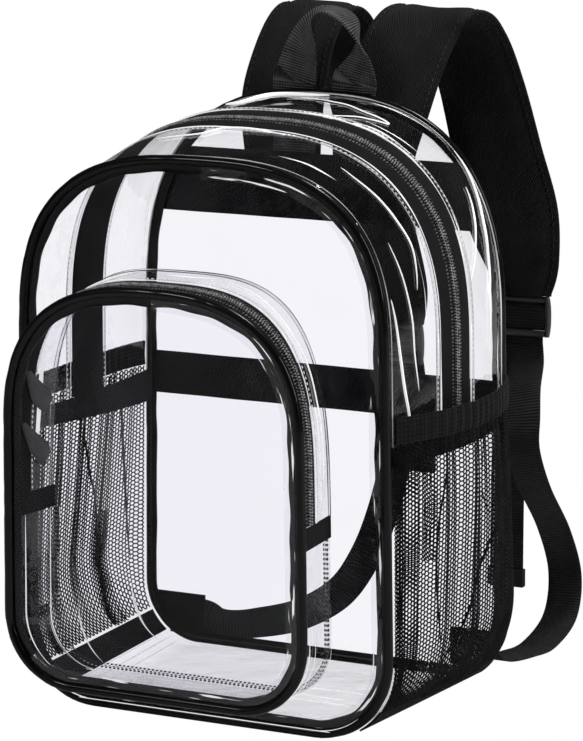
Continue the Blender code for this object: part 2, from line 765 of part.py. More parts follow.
def build_strap(word, side, end, strap_table, webbing_table, tail_table, parent):
    """One padded strap with its buckle, its lower webbing, the loose tail and the anchor."""
    webbing = flat_section(WEBBING_THICKNESS)
    webbing_top = end - BUCKLE_DROP
    tail_top = webbing_top + TAIL_OVERLAP
    strap_rows = route(strap_table, STRAP_Y, end, BACK_HEIGHT, STRAP_WIDTH)
    webbing_rows = route(webbing_table, STRAP_Y, 0.0, webbing_top, WEBBING_WIDTH)
    tail_rows = route(tail_table, STRAP_Y + TAIL_OFFSET, 0.0, tail_top, WEBBING_WIDTH)
    band(word + "_strap", strap_rows, 3, padded_section, "black_twill", parent)
    band(word + "_webbing", webbing_rows, 4, webbing, "black_webbing", parent)
    band(word + "_webbing_tail", tail_rows, 3, webbing, "black_webbing", parent)
    x, y, z, width, turn, tilt = strap_rows[-1]
    buckle(word + "_buckle", x, y, z - 3 * GAP - BUCKLE_HEIGHT / 2, turn, parent)
    anchor(word + "_anchor", side, parent)


def buckle(name, x, y, z, turn, parent):
    """A ladder-lock buckle: a flat frame whose two slots leave three bars."""
    bpy.ops.mesh.primitive_cube_add(size=1.0)
    piece = bpy.context.object
    piece.name = name
    piece.data.transform(Matrix.Diagonal((BUCKLE_WIDTH, BUCKLE_THICKNESS, BUCKLE_HEIGHT, 1.0)))
    piece.data.materials.append(material("grey_plastic"))
    step = BUCKLE_HEIGHT / 2 - BUCKLE_BAR - BUCKLE_SLOT / 2
    for number, height in enumerate((-step, step)):
        bpy.ops.mesh.primitive_cube_add(size=1.0)
        cutter = bpy.context.object
        cutter.name = f"{name}_slot_{number + 1}"
        slot = (BUCKLE_WIDTH - 2 * BUCKLE_BAR, 3 * BUCKLE_THICKNESS, BUCKLE_SLOT, 1.0)
        cutter.data.transform(Matrix.Translation((0, 0, height)) @ Matrix.Diagonal(slot))
        cutter.parent = piece
        cutter.hide_render = True
        cutter.display_type = "WIRE"
        cut = piece.modifiers.new(f"slot_{number + 1}", "BOOLEAN")
        cut.object = cutter
        cut.solver = "EXACT"
    piece.location = (x, y, z)
    piece.rotation_euler = (0, 0, math.radians(turn))
    piece.parent = parent


def anchor(name, side, parent):
    """The tab at a back bottom corner that a lower webbing is sewn to."""
    outer = [(BACK.half_width(z), z) for z in spread_values(ANCHOR_BOTTOM, ANCHOR_TOP, 5)]
    points = [(ANCHOR_INNER, ANCHOR_BOTTOM), *outer, (ANCHOR_INNER, ANCHOR_TOP)]
    if side < 0:
        points = [(-x, z) for x, z in reversed(points)]
    plate(name, points, ANCHOR_Y, WEBBING_THICKNESS, "black_twill", parent)


def slider_and_pull(name, outline_at, y, z, shift, inside, slot, parent):
    """A zip slider on the left side of an outline, with the ribbon pull that hangs from it.

    The pull hangs over the slider, or from the slider's other face, on the zip's inside.
    """
    outline = outline_at(y)
    reach = SLIDER_LENGTH / 2
    slope = (outline.half_width(z + reach, -1) - outline.half_width(z - reach, -1)) / SLIDER_LENGTH
    lean = math.atan(slope)
    off = SHEET / 2 + COIL_RISE + 2 * GAP
    middle = off + SLIDER_THICKNESS / 2
    bpy.ops.mesh.primitive_cube_add(size=1.0)
    piece = bpy.context.object
    piece.name = name + "_slider"
    piece.data.transform(Matrix.Diagonal((SLIDER_THICKNESS, SLIDER_WIDTH, SLIDER_LENGTH, 1.0)))
    bevel = piece.modifiers.new("edges", "BEVEL")
    bevel.width = SLIDER_THICKNESS / 4
    bevel.segments = 1
    piece.data.materials.append(material("grey_plastic"))
    x = shift - outline.half_width(z, -1) - middle * math.cos(lean)
    piece.location = (x, y, z - middle * math.sin(lean))
    piece.rotation_euler = (0, -lean, 0)
    piece.parent = parent
    out = off + SLIDER_THICKNESS + GAP + PULL_THICKNESS / 2
    if inside:
        out = -SHEET / 2 - 2 * GAP - PULL_THICKNESS / 2
    rows = []
    for row in map(Pull._make, PULL_TABLE):
        height = z - PULL_LENGTH * row.down
        depth = y + PULL_SWING * row.back
        before = outline_at(depth - reach).half_width(height, -1)
        after = outline_at(depth + reach).half_width(height, -1)
        x = shift - outline_at(depth).half_width(height, -1) - out / math.cos(lean)
        turn = 90 + math.degrees(math.atan((after - before) / SLIDER_LENGTH))
        rows.append((x, depth, height, PULL_WIDTH * row.width, turn, 0))
    band(name + "_pull", rows, 2, flat_section(PULL_THICKNESS), slot, parent)


def build_zip_pulls(parent):
    """The sliders of the main zip and of the pocket's zip, all at their left ends."""
    slider_and_pull("main_zip", shell_outline, ZIP_DEPTH, MAIN_SLIDER_HEIGHT, 0.0, False,
                    "black_twill", parent)
    y = -POCKET_DEPTH + CORD_RADIUS + GAP + POCKET_ZIP_WIDTH / 2
    upper = POCKET_SLIDER_HEIGHT + PULL_LENGTH + POCKET_SLIDER_CLEARANCE
    for word, z in (("upper", upper), ("lower", POCKET_SLIDER_HEIGHT)):
        slider_and_pull("pocket_" + word, pocket_outline, y, z, POCKET_SHIFT, True, "grey_ribbon", parent)


def settle(parent):
    """Moves the bag so that its box stands on the origin by the middle of its underside."""
    bpy.context.view_layer.update()
    graph = bpy.context.evaluated_depsgraph_get()
    corners = []
    for piece in parent.children:
        if piece.hide_render:
            continue
        shape = piece.evaluated_get(graph)
        corners.extend(shape.matrix_world @ vertex.co for vertex in shape.data.vertices)
    low = [min(corner[axis] for corner in corners) for axis in range(3)]
    high = [max(corner[axis] for corner in corners) for axis in range(3)]
    parent.location = (-(low[0] + high[0]) / 2, -(low[1] + high[1]) / 2, -low[2])


def main():
    for piece in list(bpy.data.objects):
        bpy.data.objects.remove(piece)
    bag = bpy.data.objects.new("bag", None)
    bpy.context.scene.collection.objects.link(bag)
    build_body(bag)
    build_pocket(bag)
    for side, word in ((-1, "left"), (1, "right")):
        build_mesh_pocket(side, word, bag)
    build_back_bands(bag)
    build_handle(bag)
    build_strap("right", 1, RIGHT_STRAP_END, RIGHT_STRAP_TABLE, RIGHT_WEBBING_TABLE, RIGHT_TAIL_TABLE, bag)
    build_strap("left", -1, LEFT_STRAP_END, LEFT_STRAP_TABLE, LEFT_WEBBING_TABLE, LEFT_TAIL_TABLE, bag)
    build_zip_pulls(bag)
    settle(bag)


main()
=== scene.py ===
"""Looks of the clear backpack: every piece that shows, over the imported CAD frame. Metres."""

import math

import bpy
import numpy as np
from mathutils import Matrix, Vector


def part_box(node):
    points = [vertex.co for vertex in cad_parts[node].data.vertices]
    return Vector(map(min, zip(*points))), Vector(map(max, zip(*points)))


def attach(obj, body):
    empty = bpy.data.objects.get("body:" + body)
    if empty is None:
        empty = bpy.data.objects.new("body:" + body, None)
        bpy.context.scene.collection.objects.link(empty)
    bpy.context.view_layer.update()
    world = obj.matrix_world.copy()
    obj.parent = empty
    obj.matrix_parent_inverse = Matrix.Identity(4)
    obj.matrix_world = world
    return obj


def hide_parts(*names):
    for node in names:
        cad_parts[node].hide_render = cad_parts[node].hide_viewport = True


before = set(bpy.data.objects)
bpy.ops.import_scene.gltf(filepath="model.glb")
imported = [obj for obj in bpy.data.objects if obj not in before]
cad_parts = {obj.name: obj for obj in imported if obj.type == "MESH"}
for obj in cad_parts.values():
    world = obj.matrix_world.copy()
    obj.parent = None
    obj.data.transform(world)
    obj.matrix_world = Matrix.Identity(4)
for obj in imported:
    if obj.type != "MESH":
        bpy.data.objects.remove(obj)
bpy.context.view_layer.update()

# Sizes of the solids, repeated from the part's source
BACK_HEIGHT = 0.305
DEPTH = 0.1333
SHEET = 0.0010
GAP = 0.0003
BASE_HEIGHT = 0.0010
RIGHT_SIDE_BULGE = 0.0100
LEFT_SIDE_BULGE = -0.0040
TOP_BULGE = 0.0057
LEAN = 0.034
CORD = 0.0025
TAPE_REACH = 0.0065
ZIP_DEPTH = 0.0584
ZIP_WIDTH = 0.0300
COIL_RISE = 0.0012
COIL_PITCH = 0.00145
SIDE_TAPE_TOP = 0.1505
SIDE_TAPE_HEIGHT = 0.0095
LEFT_TAPE_SAG = 0.0080
RIGHT_TAPE_SAG = 0.0010
POCKET_DEPTH = 0.0395
POCKET_SHIFT = -0.0060
POCKET_ZIP_WIDTH = 0.0150
POCKET_ZIP_END = 0.1150
POCKET_TAB_HEIGHT = 0.0110
MESH_BOTTOM = 0.0175
MESH_TOP = 0.1525
MESH_THICKNESS = 0.0010
MESH_BILLOW = 0.0160
MESH_FOLD = 0.0016
MESH_FOLDS = 5
FACET_ROOM = 0.0007
ELASTIC_HEIGHT = 0.0130
ELASTIC_THICKNESS = 0.0015
HEM_BOTTOM = 0.0075
YOKE_BOTTOM = 0.238
YOKE_TOP = 0.273
BACK_BAND_BOTTOM = 0.1375
BACK_BAND_TOP = 0.1605
BAND_THICKNESS = 0.0014
HANDLE_WIDTH = 0.025
HANDLE_THICKNESS = 0.0016
HANDLE_LEG = 0.0175
STRAP_WIDTH = 0.050
STRAP_THICKNESS = 0.0060
STRAP_EDGE = 0.0022
STRAP_BINDING = 0.0060
WEBBING_WIDTH = 0.020
WEBBING_THICKNESS = 0.0014
BUCKLE_WIDTH = 0.031
BUCKLE_HEIGHT = 0.022
BUCKLE_THICKNESS = 0.0040
BUCKLE_BAR = 0.0035
BUCKLE_DROP = BUCKLE_HEIGHT + 7 * GAP
TAIL_OFFSET = BUCKLE_THICKNESS / 2 + 2 * GAP + WEBBING_THICKNESS / 2
TAIL_OVERLAP = 0.0095
STRAP_HANG = 0.0840
RIGHT_STRAP_END = 0.1905
LEFT_STRAP_END = 0.1700
SLIDER_LENGTH = 0.0110
SLIDER_WIDTH = 0.0080
SLIDER_THICKNESS = 0.0030
PULL_THICKNESS = 0.0012
PULL_LENGTH = 0.0240
PULL_WIDTH = 0.0160
PULL_SWING = 0.0180
MAIN_SLIDER_HEIGHT = 0.196
POCKET_SLIDER_HEIGHT = 0.152
POCKET_SLIDER_CLEARANCE = 0.003
INNER = CORD + GAP
MAIN_ZIP_START = ZIP_DEPTH - ZIP_WIDTH / 2
MAIN_ZIP_END = ZIP_DEPTH + ZIP_WIDTH / 2
POCKET_ZIP_START = -POCKET_DEPTH + INNER
POCKET_ZIP_TOP = POCKET_ZIP_START + POCKET_ZIP_WIDTH
YOKE_Y = DEPTH + SHEET / 2 + GAP + BAND_THICKNESS / 2
HANDLE_Y = DEPTH + CORD + GAP + HANDLE_THICKNESS / 2
STRAP_Y = HANDLE_Y + HANDLE_THICKNESS / 2 + GAP + STRAP_THICKNESS / 2

SIDES = ((-1, "left"), (1, "right"))

# The bag is worked out with its front panel at Y = 0, as in the part's source, then moved
low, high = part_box("front_panel")
SHIFT = np.array([(low.x + high.x) / 2, low.y + SHEET / 2,
                  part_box("base_panel")[0].z - (BASE_HEIGHT - SHEET / 2)])


# Outlines

class Outline:
    """A panel's outline: rounded foot, straight sides and a superelliptic arch."""

    def __init__(self, width, height, shoulder, roundness, corner, base):
        self.width, self.height, self.shoulder, self.roundness = width, height, shoulder, roundness
        self.corner, self.base = corner, base
        self.right_bulge, self.left_bulge = 0.0, 0.0

    def spread(self, x, z):
        bulge = self.right_bulge if x > 0 else self.left_bulge
        rise = min(1.0, max(0.0, z / SIDE_TAPE_TOP))
        swell = 2 * bulge / self.width * rise * rise * (3 - 2 * rise)
        return x * (1 - LEAN * (z - self.base) / self.height + swell)

    def half_width(self, z, side=1):
        half = self.width / 2
        if z < self.base + self.corner:
            drop = self.base + self.corner - z
            half = half - self.corner + math.sqrt(max(0.0, self.corner**2 - drop**2))
        elif z > self.shoulder:
            share = min(1.0, (z - self.shoulder) / (self.height - self.shoulder))
            half = half * (1 - share**self.roundness) ** (1 / self.roundness)
        return side * self.spread(side * half, z)

    def slope(self, z, side=1, reach=SHEET):
        """How fast the half width changes with the height."""
        return (self.half_width(z + reach, side) - self.half_width(z - reach, side)) / (2 * reach)

    def arch(self, start, steps=90):
        power = 2 / self.roundness
        share = max(0.0, start - self.shoulder) / (self.height - self.shoulder)
        low = math.asin(share ** (1 / power))
        points = []
        for step in range(steps + 1):
            angle = low + (math.pi - 2 * low) * step / steps
            c, s = math.cos(angle), math.sin(angle)
            x = math.copysign(self.width / 2 * abs(c) ** power, c)
            z = self.shoulder + (self.height - self.shoulder) * abs(s) ** power
            points.append((self.spread(x, z), z))
        if start < self.shoulder:
            heights = np.linspace(start, self.shoulder, 14)[:-1]
            right = [(self.half_width(z), z) for z in heights]
            points = right + points + [(-self.half_width(z, -1), z) for z in heights[::-1]]
        return even(np.array(points), steps + 30)

    def foot(self, end, steps=16):
        halves = []
        for side in (-1, 1):
            straight = np.linspace(end, self.base + self.corner, 6)[:-1]
            points = [(side * self.half_width(z, side), z) for z in straight]
            for step in range(steps + 1):
                angle = math.pi / 2 * step / steps
                x = self.width / 2 - self.corner + self.corner * math.cos(angle)
                z = self.base + self.corner - self.corner * math.sin(angle)
                points.append((self.spread(side * x, z), z))
            halves.append(points)
        return np.array(halves[0] + halves[1][::-1])

    def loop(self):
        level = (self.shoulder + self.base + self.corner) / 2
        return np.vstack([self.arch(level), self.foot(level)[1:-1]])


FRONT = Outline(0.2094, 0.286, 0.192, 2.77, 0.041, CORD)
BACK = Outline(0.2120, BACK_HEIGHT, 0.190, 2.60, 0.031, CORD)
POCKET = Outline(0.1675, 0.2256, 0.152, 2.58, 0.036, 0.0212)
POCKET_SEAM = Outline(0.1598, 0.2307, 0.105, 3.39, 0.027, 0.0212)


def blend(first, second, share):
    names = ("width", "height", "shoulder", "roundness", "corner", "base")
    return Outline(*[getattr(first, n) * (1 - share) + getattr(second, n) * share for n in names])


def shell_outline(y):
    share = y / DEPTH
    zip_share = ZIP_DEPTH / DEPTH
    crown = share * (1 - share) / (zip_share * (1 - zip_share))
    outline = blend(FRONT, BACK, share)
    outline.base = BASE_HEIGHT
    outline.height += TOP_BULGE * crown
    outline.right_bulge = RIGHT_SIDE_BULGE * crown
    outline.left_bulge = LEFT_SIDE_BULGE * crown
    return outline


def pocket_outline(y):
    return blend(POCKET, POCKET_SEAM, 1 + y / POCKET_DEPTH)


def unit(vectors):
    return vectors / (np.linalg.norm(vectors, axis=-1, keepdims=True) + 1e-12)


def circle(count):
    return np.linspace(0, 2 * math.pi, count, endpoint=False)


def around(centre, side, out, size, count, turn=0.0):
    """A ring of points round each centre, in the plane of two directions."""
    return [centre + (side * math.cos(a) + out * math.sin(a)) * size for a in circle(count) + turn]


def path_normals(points, closed=False):
    step = np.roll(points, -1, 0) - np.roll(points, 1, 0) if closed else np.gradient(points, axis=0)
    step = unit(step)
    return np.stack([step[:, 1], -step[:, 0]], 1)


def at_depth(points, y, shift=0.0):
    """Points (x, z) of an outline as 3-D points at one depth."""
    return np.insert(points + np.array([shift, 0]), 1, y, 1)


def lengths_along(points):
    """Distance along a path at each of its points."""
    gaps = np.linalg.norm(np.diff(points, axis=0), axis=1)
    return np.concatenate([[0.0], np.cumsum(gaps)])


def read(values, along, at):
    """Rows of values known at some lengths along a path, read at others."""
    return np.stack([np.interp(at, along, column) for column in values.T], -1)


def even(points, count):
    """A path read again at evenly spaced places."""
    along = lengths_along(points)
    return read(points, along, np.linspace(0, along[-1], count))


def ripple(s, t, seed=0.0):
    """Slow unevenness of a soft sheet, from -1 to 1; s and t in metres."""
    a = np.sin(s * 61 + t * 23 + seed) * np.sin(t * 47 - s * 13 + 2 * seed)
    b = np.sin(s * 127 - t * 83 + 3 * seed) * 0.5
    c = np.sin(s * 259 + t * 171 + 5 * seed) * 0.22
    return (a + b + c) / 1.6


# Meshes

class Shape:
    """Gathers the surfaces of one piece: points, faces, UVs in metres and material slots."""

    def __init__(self):
        self.points, self.faces, self.uvs, self.slots = [], [], [], []
        self.count = 0

    def add(self, points, faces, uvs=None, slot=0):
        points = np.asarray(points, float).reshape(-1, 3)
        self.points.append(points)
        self.uvs.append(np.zeros((len(points), 2)) if uvs is None else np.reshape(uvs, (-1, 2)))
        faces = np.asarray(faces, int)
        self.faces.extend((faces + self.count).tolist())
        self.slots.extend([slot] * len(faces))
        self.count += len(points)

    def grid(self, points, uvs=None, wrap=False, slot=0, flip=False):
        """A sheet through an array of rows of points; wrap closes each row."""
        points = np.asarray(points, float)
        n, m = points.shape[:2]
        if uvs is None:
            steps = [np.linalg.norm(np.diff(points, axis=k), axis=2).mean(1 - k) for k in (0, 1)]
            lengths = [np.concatenate([[0.0], np.cumsum(step)]) for step in steps]
            uvs = np.stack(np.meshgrid(*lengths, indexing="ij"), 2)
        index = np.arange(n * m).reshape(n, m)
        if wrap:
            index = np.concatenate([index, index[:, :1]], 1)
        a, b, c, d = index[:-1, :-1], index[:-1, 1:], index[1:, 1:], index[1:, :-1]
        faces = np.stack([a, b, c, d] if not flip else [a, d, c, b], 2).reshape(-1, 4)
        self.add(points, faces, uvs, slot)

    def copies(self, points, faces, slot=0):
        """Many small bodies with the same faces, from points [body][corner]."""
        starts = np.arange(len(points))[:, None, None] * points.shape[1]
        self.add(points, (starts + np.array(faces)).reshape(-1, 4), None, slot)

    def tube(self, rings, closed=False, slot=0):
        """A round or flat band through rings of points, capped unless it closes on itself."""
        rings = np.asarray(rings, float)
        if closed:
            rings = np.concatenate([rings, rings[:1]], 0)
        self.grid(rings, wrap=True, slot=slot)
        if not closed:
            self.ends(*rings.shape[:2], slot)

    def ends(self, n, m, slot=0):
        """Closes the last wrapped grid, of n rings with m points each, at both ends."""
        first, last = self.count - n * m, self.count - m
        self.faces += [list(range(first, first + m))[::-1], list(range(last, last + m))]
        self.slots += [slot, slot]

    def box(self, centre, size, axes=None, slot=0):
        axes = np.eye(3) if axes is None else np.asarray(axes, float)
        signs = [(x, y, z) for x in (-1, 1) for y in (-1, 1) for z in (-1, 1)]
        corners = np.array(signs) * np.asarray(size) / 2
        faces = [(0, 1, 3, 2), (4, 6, 7, 5), (0, 4, 5, 1), (2, 3, 7, 6), (0, 2, 6, 4), (1, 5, 7, 3)]
        self.add(np.asarray(centre) + corners @ axes, faces, None, slot)

    def build(self, name, materials, nodes=(), slot=None, smooth=True, angle=40):
        mesh = bpy.data.meshes.new(name)
        points = np.vstack(self.points) + SHIFT
        mesh.from_pydata(points.tolist(), [], self.faces)
        layer = mesh.uv_layers.new(name="metres")
        uvs = np.vstack(self.uvs)
        loops = np.zeros(len(mesh.loops), int)
        mesh.loops.foreach_get("vertex_index", loops)
        layer.data.foreach_set("uv", uvs[loops].ravel())
        for found in materials:
            mesh.materials.append(found)
        mesh.polygons.foreach_set("material_index", self.slots)
        if smooth:
            mesh.shade_smooth()
            mesh.set_sharp_from_angle(angle=math.radians(angle))
        mesh.update()
        piece = add_item(name, mesh)
        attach(piece, "root")
        if nodes:
            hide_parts(*nodes)
        return piece


def solidify(piece, thickness):
    shell = piece.modifiers.new("thickness", "SOLIDIFY")
    shell.thickness = thickness
    shell.offset = 0.0
    return piece


def surface(rows, name, material, node, slot, flip=False):
    """A piece made of one grid of points."""
    shape = Shape()
    shape.grid(rows, flip=flip)
    return shape.build(name, [material], [node], slot)


def cloth(piece, rows):
    """Turns a piece's rows of points [width][length] into an array and keeps nothing; the piece is not used.
    """
    rows = np.asarray(rows, float)


# Materials

class Nodes:
    """The node tree of a material or the world, with short ways to add what they share."""

    def __init__(self, name, kind="materials", output="ShaderNodeOutputMaterial"):
        self.material = getattr(bpy.data, kind).new(name)
        self.material.use_nodes = True
        self.tree = self.material.node_tree
        self.tree.nodes.clear()
        self.output = self.add(output)
        self.coordinates = self.add("ShaderNodeTexCoord")

    def add(self, kind, **values):
        """A node; values named with a capital go to its inputs, the others are its settings."""
        node = self.tree.nodes.new(kind)
        for key, value in values.items():
            if not key[0].isupper():
                setattr(node, key, value)
            elif isinstance(value, bpy.types.NodeSocket):
                self.link(value, node.inputs[key.replace("_", " ")])
            else:
                node.inputs[key.replace("_", " ")].default_value = value
        return node

    def link(self, source, target):
        self.tree.links.new(source, target)

    def math(self, operation, a, b=0.0):
        node = self.add("ShaderNodeMath", operation=operation)
        for socket, value in zip(node.inputs, (a, b)):
            if isinstance(value, (int, float)):
                socket.default_value = value
            else:
                self.link(value, socket)
        return node.outputs[0]

    def wave(self, angle, period):
        """Sine bands across the given direction of the surface, from -1 to 1."""
        dot = self.add("ShaderNodeVectorMath", operation="DOT_PRODUCT")
        turns, angle = 2 * math.pi / period, math.radians(angle)
        dot.inputs[1].default_value = (math.cos(angle) * turns, math.sin(angle) * turns, 0)
        self.link(self.coordinates.outputs["UV"], dot.inputs[0])
        return self.math("SINE", dot.outputs["Value"])

    def noise(self, scale, detail=2.0, source="Object", stretch=None):
        vector = self.coordinates.outputs[source]
        if stretch:
            vector = self.add("ShaderNodeMapping", Vector=vector, Scale=stretch).outputs[0]
        return self.add("ShaderNodeTexNoise", Vector=vector, Scale=scale, Detail=detail).outputs["Fac"]

    def ramp(self, value, low, high, start=0.0, end=1.0):
        """Maps start..end of a value to the colours or numbers low..high."""
        if not isinstance(low, tuple):
            return self.add("ShaderNodeMapRange", Value=value, From_Min=start, From_Max=end, To_Min=low,
                            To_Max=high).outputs[0]
        mix = self.add("ShaderNodeMix", data_type="RGBA")
        self.link(self.ramp(value, 0.0, 1.0, start, end), mix.inputs[0])
        mix.inputs[6].default_value = (*low, 1)
        mix.inputs[7].default_value = (*high, 1)
        return mix.outputs[2]

    def bump(self, height, distance):
        return self.add("ShaderNodeBump", Height=height, Distance=distance, Strength=1.0).outputs[0]

    def mix(self, share, first, second):
        """A shader that goes from the first to the second as the share rises."""
        node = self.add("ShaderNodeMixShader")
        for socket, source in zip(node.inputs, (share, first, second)):
            self.link(source, socket)
        return node.outputs[0]

    def white(self, kind, **inputs):
        """The output of a white shader node."""
        return self.add(kind, Color=(1, 1, 1, 1), **inputs).outputs[0]

    def show(self, shader):
        self.link(shader, self.output.inputs["Surface"])
        return self.material

    def show_camera(self, seen, other):
        """Ends in one shader for the camera's own rays and in another for the rest."""
        ray = self.add("ShaderNodeLightPath").outputs["Is Camera Ray"]
        return self.show(self.mix(ray, other, seen))

    def principled(self, colour, roughness, normal, **inputs):
        inputs.update(Base_Color=colour, Roughness=roughness, Normal=normal)
        return self.show(self.add("ShaderNodeBsdfPrincipled", **inputs).outputs[0])


def clear_sheet(name, tint, edge_tint, base_gloss, roughness, wobble, painted_streaks=None):
    """Soft clear sheet: it passes light with a faint tint and mirrors more at grazing angles.

    Painted streaks are painted highlights: white diffuse scatter plus a painted white glow. The list gives
    how fine they are across and along the surface's two directions, and the noise value from which they show.
    """
    n = Nodes(name)
    normal = n.bump(n.noise(34, 3.0), wobble)
    facing = n.add("ShaderNodeLayerWeight", Blend=0.5, Normal=normal).outputs["Facing"]
    fresnel = n.math("ADD", n.math("MULTIPLY", n.math("POWER", facing, 4.0), 0.60), base_gloss)
    through = n.add("ShaderNodeBsdfTransparent", Color=n.ramp(facing, tint, edge_tint, 0.55, 1.0)).outputs[0]
    sheet = n.mix(fresnel, through, n.white("ShaderNodeBsdfGlossy", Roughness=roughness, Normal=normal))
    # Painted highlight: where the noise passes its value, the sheet turns white diffuse plus a white emission
    # glow
    if painted_streaks:
        streak = n.noise(1.0, 2.0, "UV", (painted_streaks[0], painted_streaks[1], 1))
        painted_highlight_mask = n.ramp(streak, 0.0, 0.95, painted_streaks[2], painted_streaks[2] + 0.045)
        both = n.add("ShaderNodeAddShader")
        n.link(n.white("ShaderNodeBsdfDiffuse"), both.inputs[0])
        n.link(n.white("ShaderNodeEmission", Strength=0.45), both.inputs[1])
        sheet = n.mix(painted_highlight_mask, sheet, both.outputs[0])
    return n.show(sheet)


def twill(name, dark, light, period, roughness=0.9):
    """Woven cloth with diagonal ribs."""
    n = Nodes(name)
    rib = n.wave(52, period)
    thread = n.wave(-38, period * 0.55)
    blotch = n.noise(60, 4.0)
    height = n.math("ADD", rib, n.math("MULTIPLY", thread, 0.5))
    tone = n.math("ADD", n.math("MULTIPLY", height, 0.28), blotch)
    colour = n.ramp(tone, dark, light, 0.1, 1.0)
    rough = n.ramp(blotch, roughness - 0.08, min(1.0, roughness + 0.05))
    return n.principled(colour, rough, n.bump(height, 0.00022), Sheen_Weight=0.03, Sheen_Roughness=0.5,
                        Specular_IOR_Level=0.12)


def webbing_cloth(name, dark, light, rib, width, turn=0):
    """Ribbed webbing: ribs across the band and finer threads along it."""
    n = Nodes(name)
    across = n.wave(turn, rib)
    along = n.wave(90 - turn, width / 16)
    weave = n.math("ADD", across, n.math("MULTIPLY", along, 0.35))
    blotch = n.noise(90, 3.0)
    tone = n.math("ADD", n.math("MULTIPLY", weave, 0.30), blotch)
    colour = n.ramp(tone, dark, light, 0.1, 1.05)
    return n.principled(colour, 0.75, n.bump(weave, 0.00025), Sheen_Weight=0.03, Sheen_Roughness=0.4,
                        Specular_IOR_Level=0.2)


def vinyl(name):
    """Glossy black binding with shallow dents."""
    n = Nodes(name)
    dents = n.noise(120, 4.0)
    colour = n.ramp(n.noise(18, 2.0), (0.001, 0.001, 0.0015), (0.005, 0.005, 0.006), 0.3, 0.7)
    rough = n.ramp(dents, 0.30, 0.45, 0.3, 0.7)
    return n.principled(colour, rough, n.bump(dents, 0.0006), Coat_Weight=0.32, Coat_Roughness=0.08,
                        Specular_IOR_Level=0.06)


def plain(name, dark, light, roughness, bump_scale, bump_depth, **constants):
    """Moulded, painted or spun stuff with a slight mottle."""
    n = Nodes(name)
    grain = n.noise(bump_scale, 3.0)
    colour = n.ramp(n.noise(bump_scale / 8, 2.0), dark, light, 0.3, 0.7)
    rough = n.ramp(grain, roughness * 0.85, min(1.0, roughness * 1.15), 0.3, 0.7)
    return n.principled(colour, rough, n.bump(grain, bump_depth), **constants)


PVC = clear_sheet("clear_pvc", (0.958, 0.955, 0.978), (0.86, 0.86, 0.89), 0.008, 0.03, 0.0007)
# The arch, edge and seam sheets carry painted highlights: streaks that glow white
PVC_ARCH = clear_sheet("clear_pvc_arch", (0.965, 0.963, 0.980), (0.90, 0.90, 0.92), 0.04, 0.025, 0.0020,
                       (170, 9, 0.655))
PVC_EDGE = clear_sheet("clear_pvc_edge", (0.93, 0.93, 0.95), (0.84, 0.84, 0.86), 0.04, 0.05, 0.0020,
                       (520, 30, 0.600))
PVC_SEAM = clear_sheet("clear_pvc_seam", (0.90, 0.90, 0.92), (0.80, 0.80, 0.83), 0.06, 0.05, 0.0020,
                       (500, 16, 0.585))
VINYL = vinyl("black_binding")
TWILL = twill("black_twill", (0.006, 0.006, 0.007), (0.024, 0.024, 0.026), 0.0011)
BINDING = twill("black_binding_tape", (0.005, 0.005, 0.006), (0.020, 0.020, 0.022), 0.0007, 0.8)
ZIP_TAPE = twill("black_zip_tape", (0.003, 0.003, 0.004), (0.014, 0.014, 0.016), 0.0008, 0.75)
# Painted highlights: the black coil's mottle runs up to light grey, standing in for glints on it
COIL_PAINTED_GLINTS = plain("black_coil_painted_glints", (0.16, 0.16, 0.165), (0.75, 0.75, 0.76), 0.22, 2600, 0.0001,
             Specular_IOR_Level=0.7)
# The zip's stitches: dark thread whose mottle runs up to light grey; the light specks are painted highlights
THREAD_PAINTED_SPECKS = plain("dark_thread_painted_specks", (0.05, 0.05, 0.052), (0.55, 0.55, 0.56), 0.5, 1800, 0.00005)
NET = plain("black_net", (0.008, 0.008, 0.009), (0.018, 0.018, 0.020), 0.8, 900, 0.0001,
            Specular_IOR_Level=0.15)
ELASTIC = webbing_cloth("black_elastic", (0.001, 0.001, 0.0015), (0.005, 0.005, 0.006), 0.0021, 0.040, 90)
RIBBED = webbing_cloth("black_webbing", (0.006, 0.006, 0.007), (0.024, 0.024, 0.026), 0.0016, WEBBING_WIDTH)
# Painted highlight: the light tone on the ribs stands for light on their tops
HANDLE_CLOTH_PAINTED_RIB_HIGHLIGHTS = webbing_cloth("black_handle_webbing_painted_rib_highlights", (0.004, 0.004, 0.005), (0.160, 0.160, 0.165), 0.0013,
                             HANDLE_WIDTH)
PLASTIC = plain("dark_plastic", (0.035, 0.035, 0.038), (0.060, 0.060, 0.064), 0.33, 500, 0.0001)
METAL = plain("painted_metal", (0.030, 0.030, 0.033), (0.055, 0.055, 0.060), 0.32, 700, 0.0001, Metallic=0.6)
RIBBON = twill("grey_ribbon", (0.10, 0.10, 0.105), (0.34, 0.34, 0.35), 0.0006, 0.4)
THREAD = plain("black_thread", (0.010, 0.010, 0.011), (0.028, 0.028, 0.030), 0.6, 1500, 0.00005)
# Painted highlight: the stitches' pale colour and glow stand in for light on them
PALE_THREAD_PAINTED_HIGHLIGHT = plain("pale_thread_painted_highlight", (0.55, 0.55, 0.57), (0.85, 0.85, 0.87), 0.6, 1500, 0.00005,
                    Emission_Color=(1, 1, 1, 1), Emission_Strength=0.22)
# Painted highlights: pale tubes with an emission glow, standing in for light along rolled edges of the sheet
PAINTED_GLINT = plain("painted_glint_glow", (0.80, 0.80, 0.82), (1.0, 1.0, 1.0), 0.3, 300, 0.0002,
              Emission_Color=(1, 1, 1, 1), Emission_Strength=0.50)
PAINTED_SOFT_GLINT = plain("painted_soft_glint_glow", (0.35, 0.35, 0.37), (0.75, 0.75, 0.77), 0.3, 160, 0.0002,
                   Emission_Color=(1, 1, 1, 1), Emission_Strength=0.12)


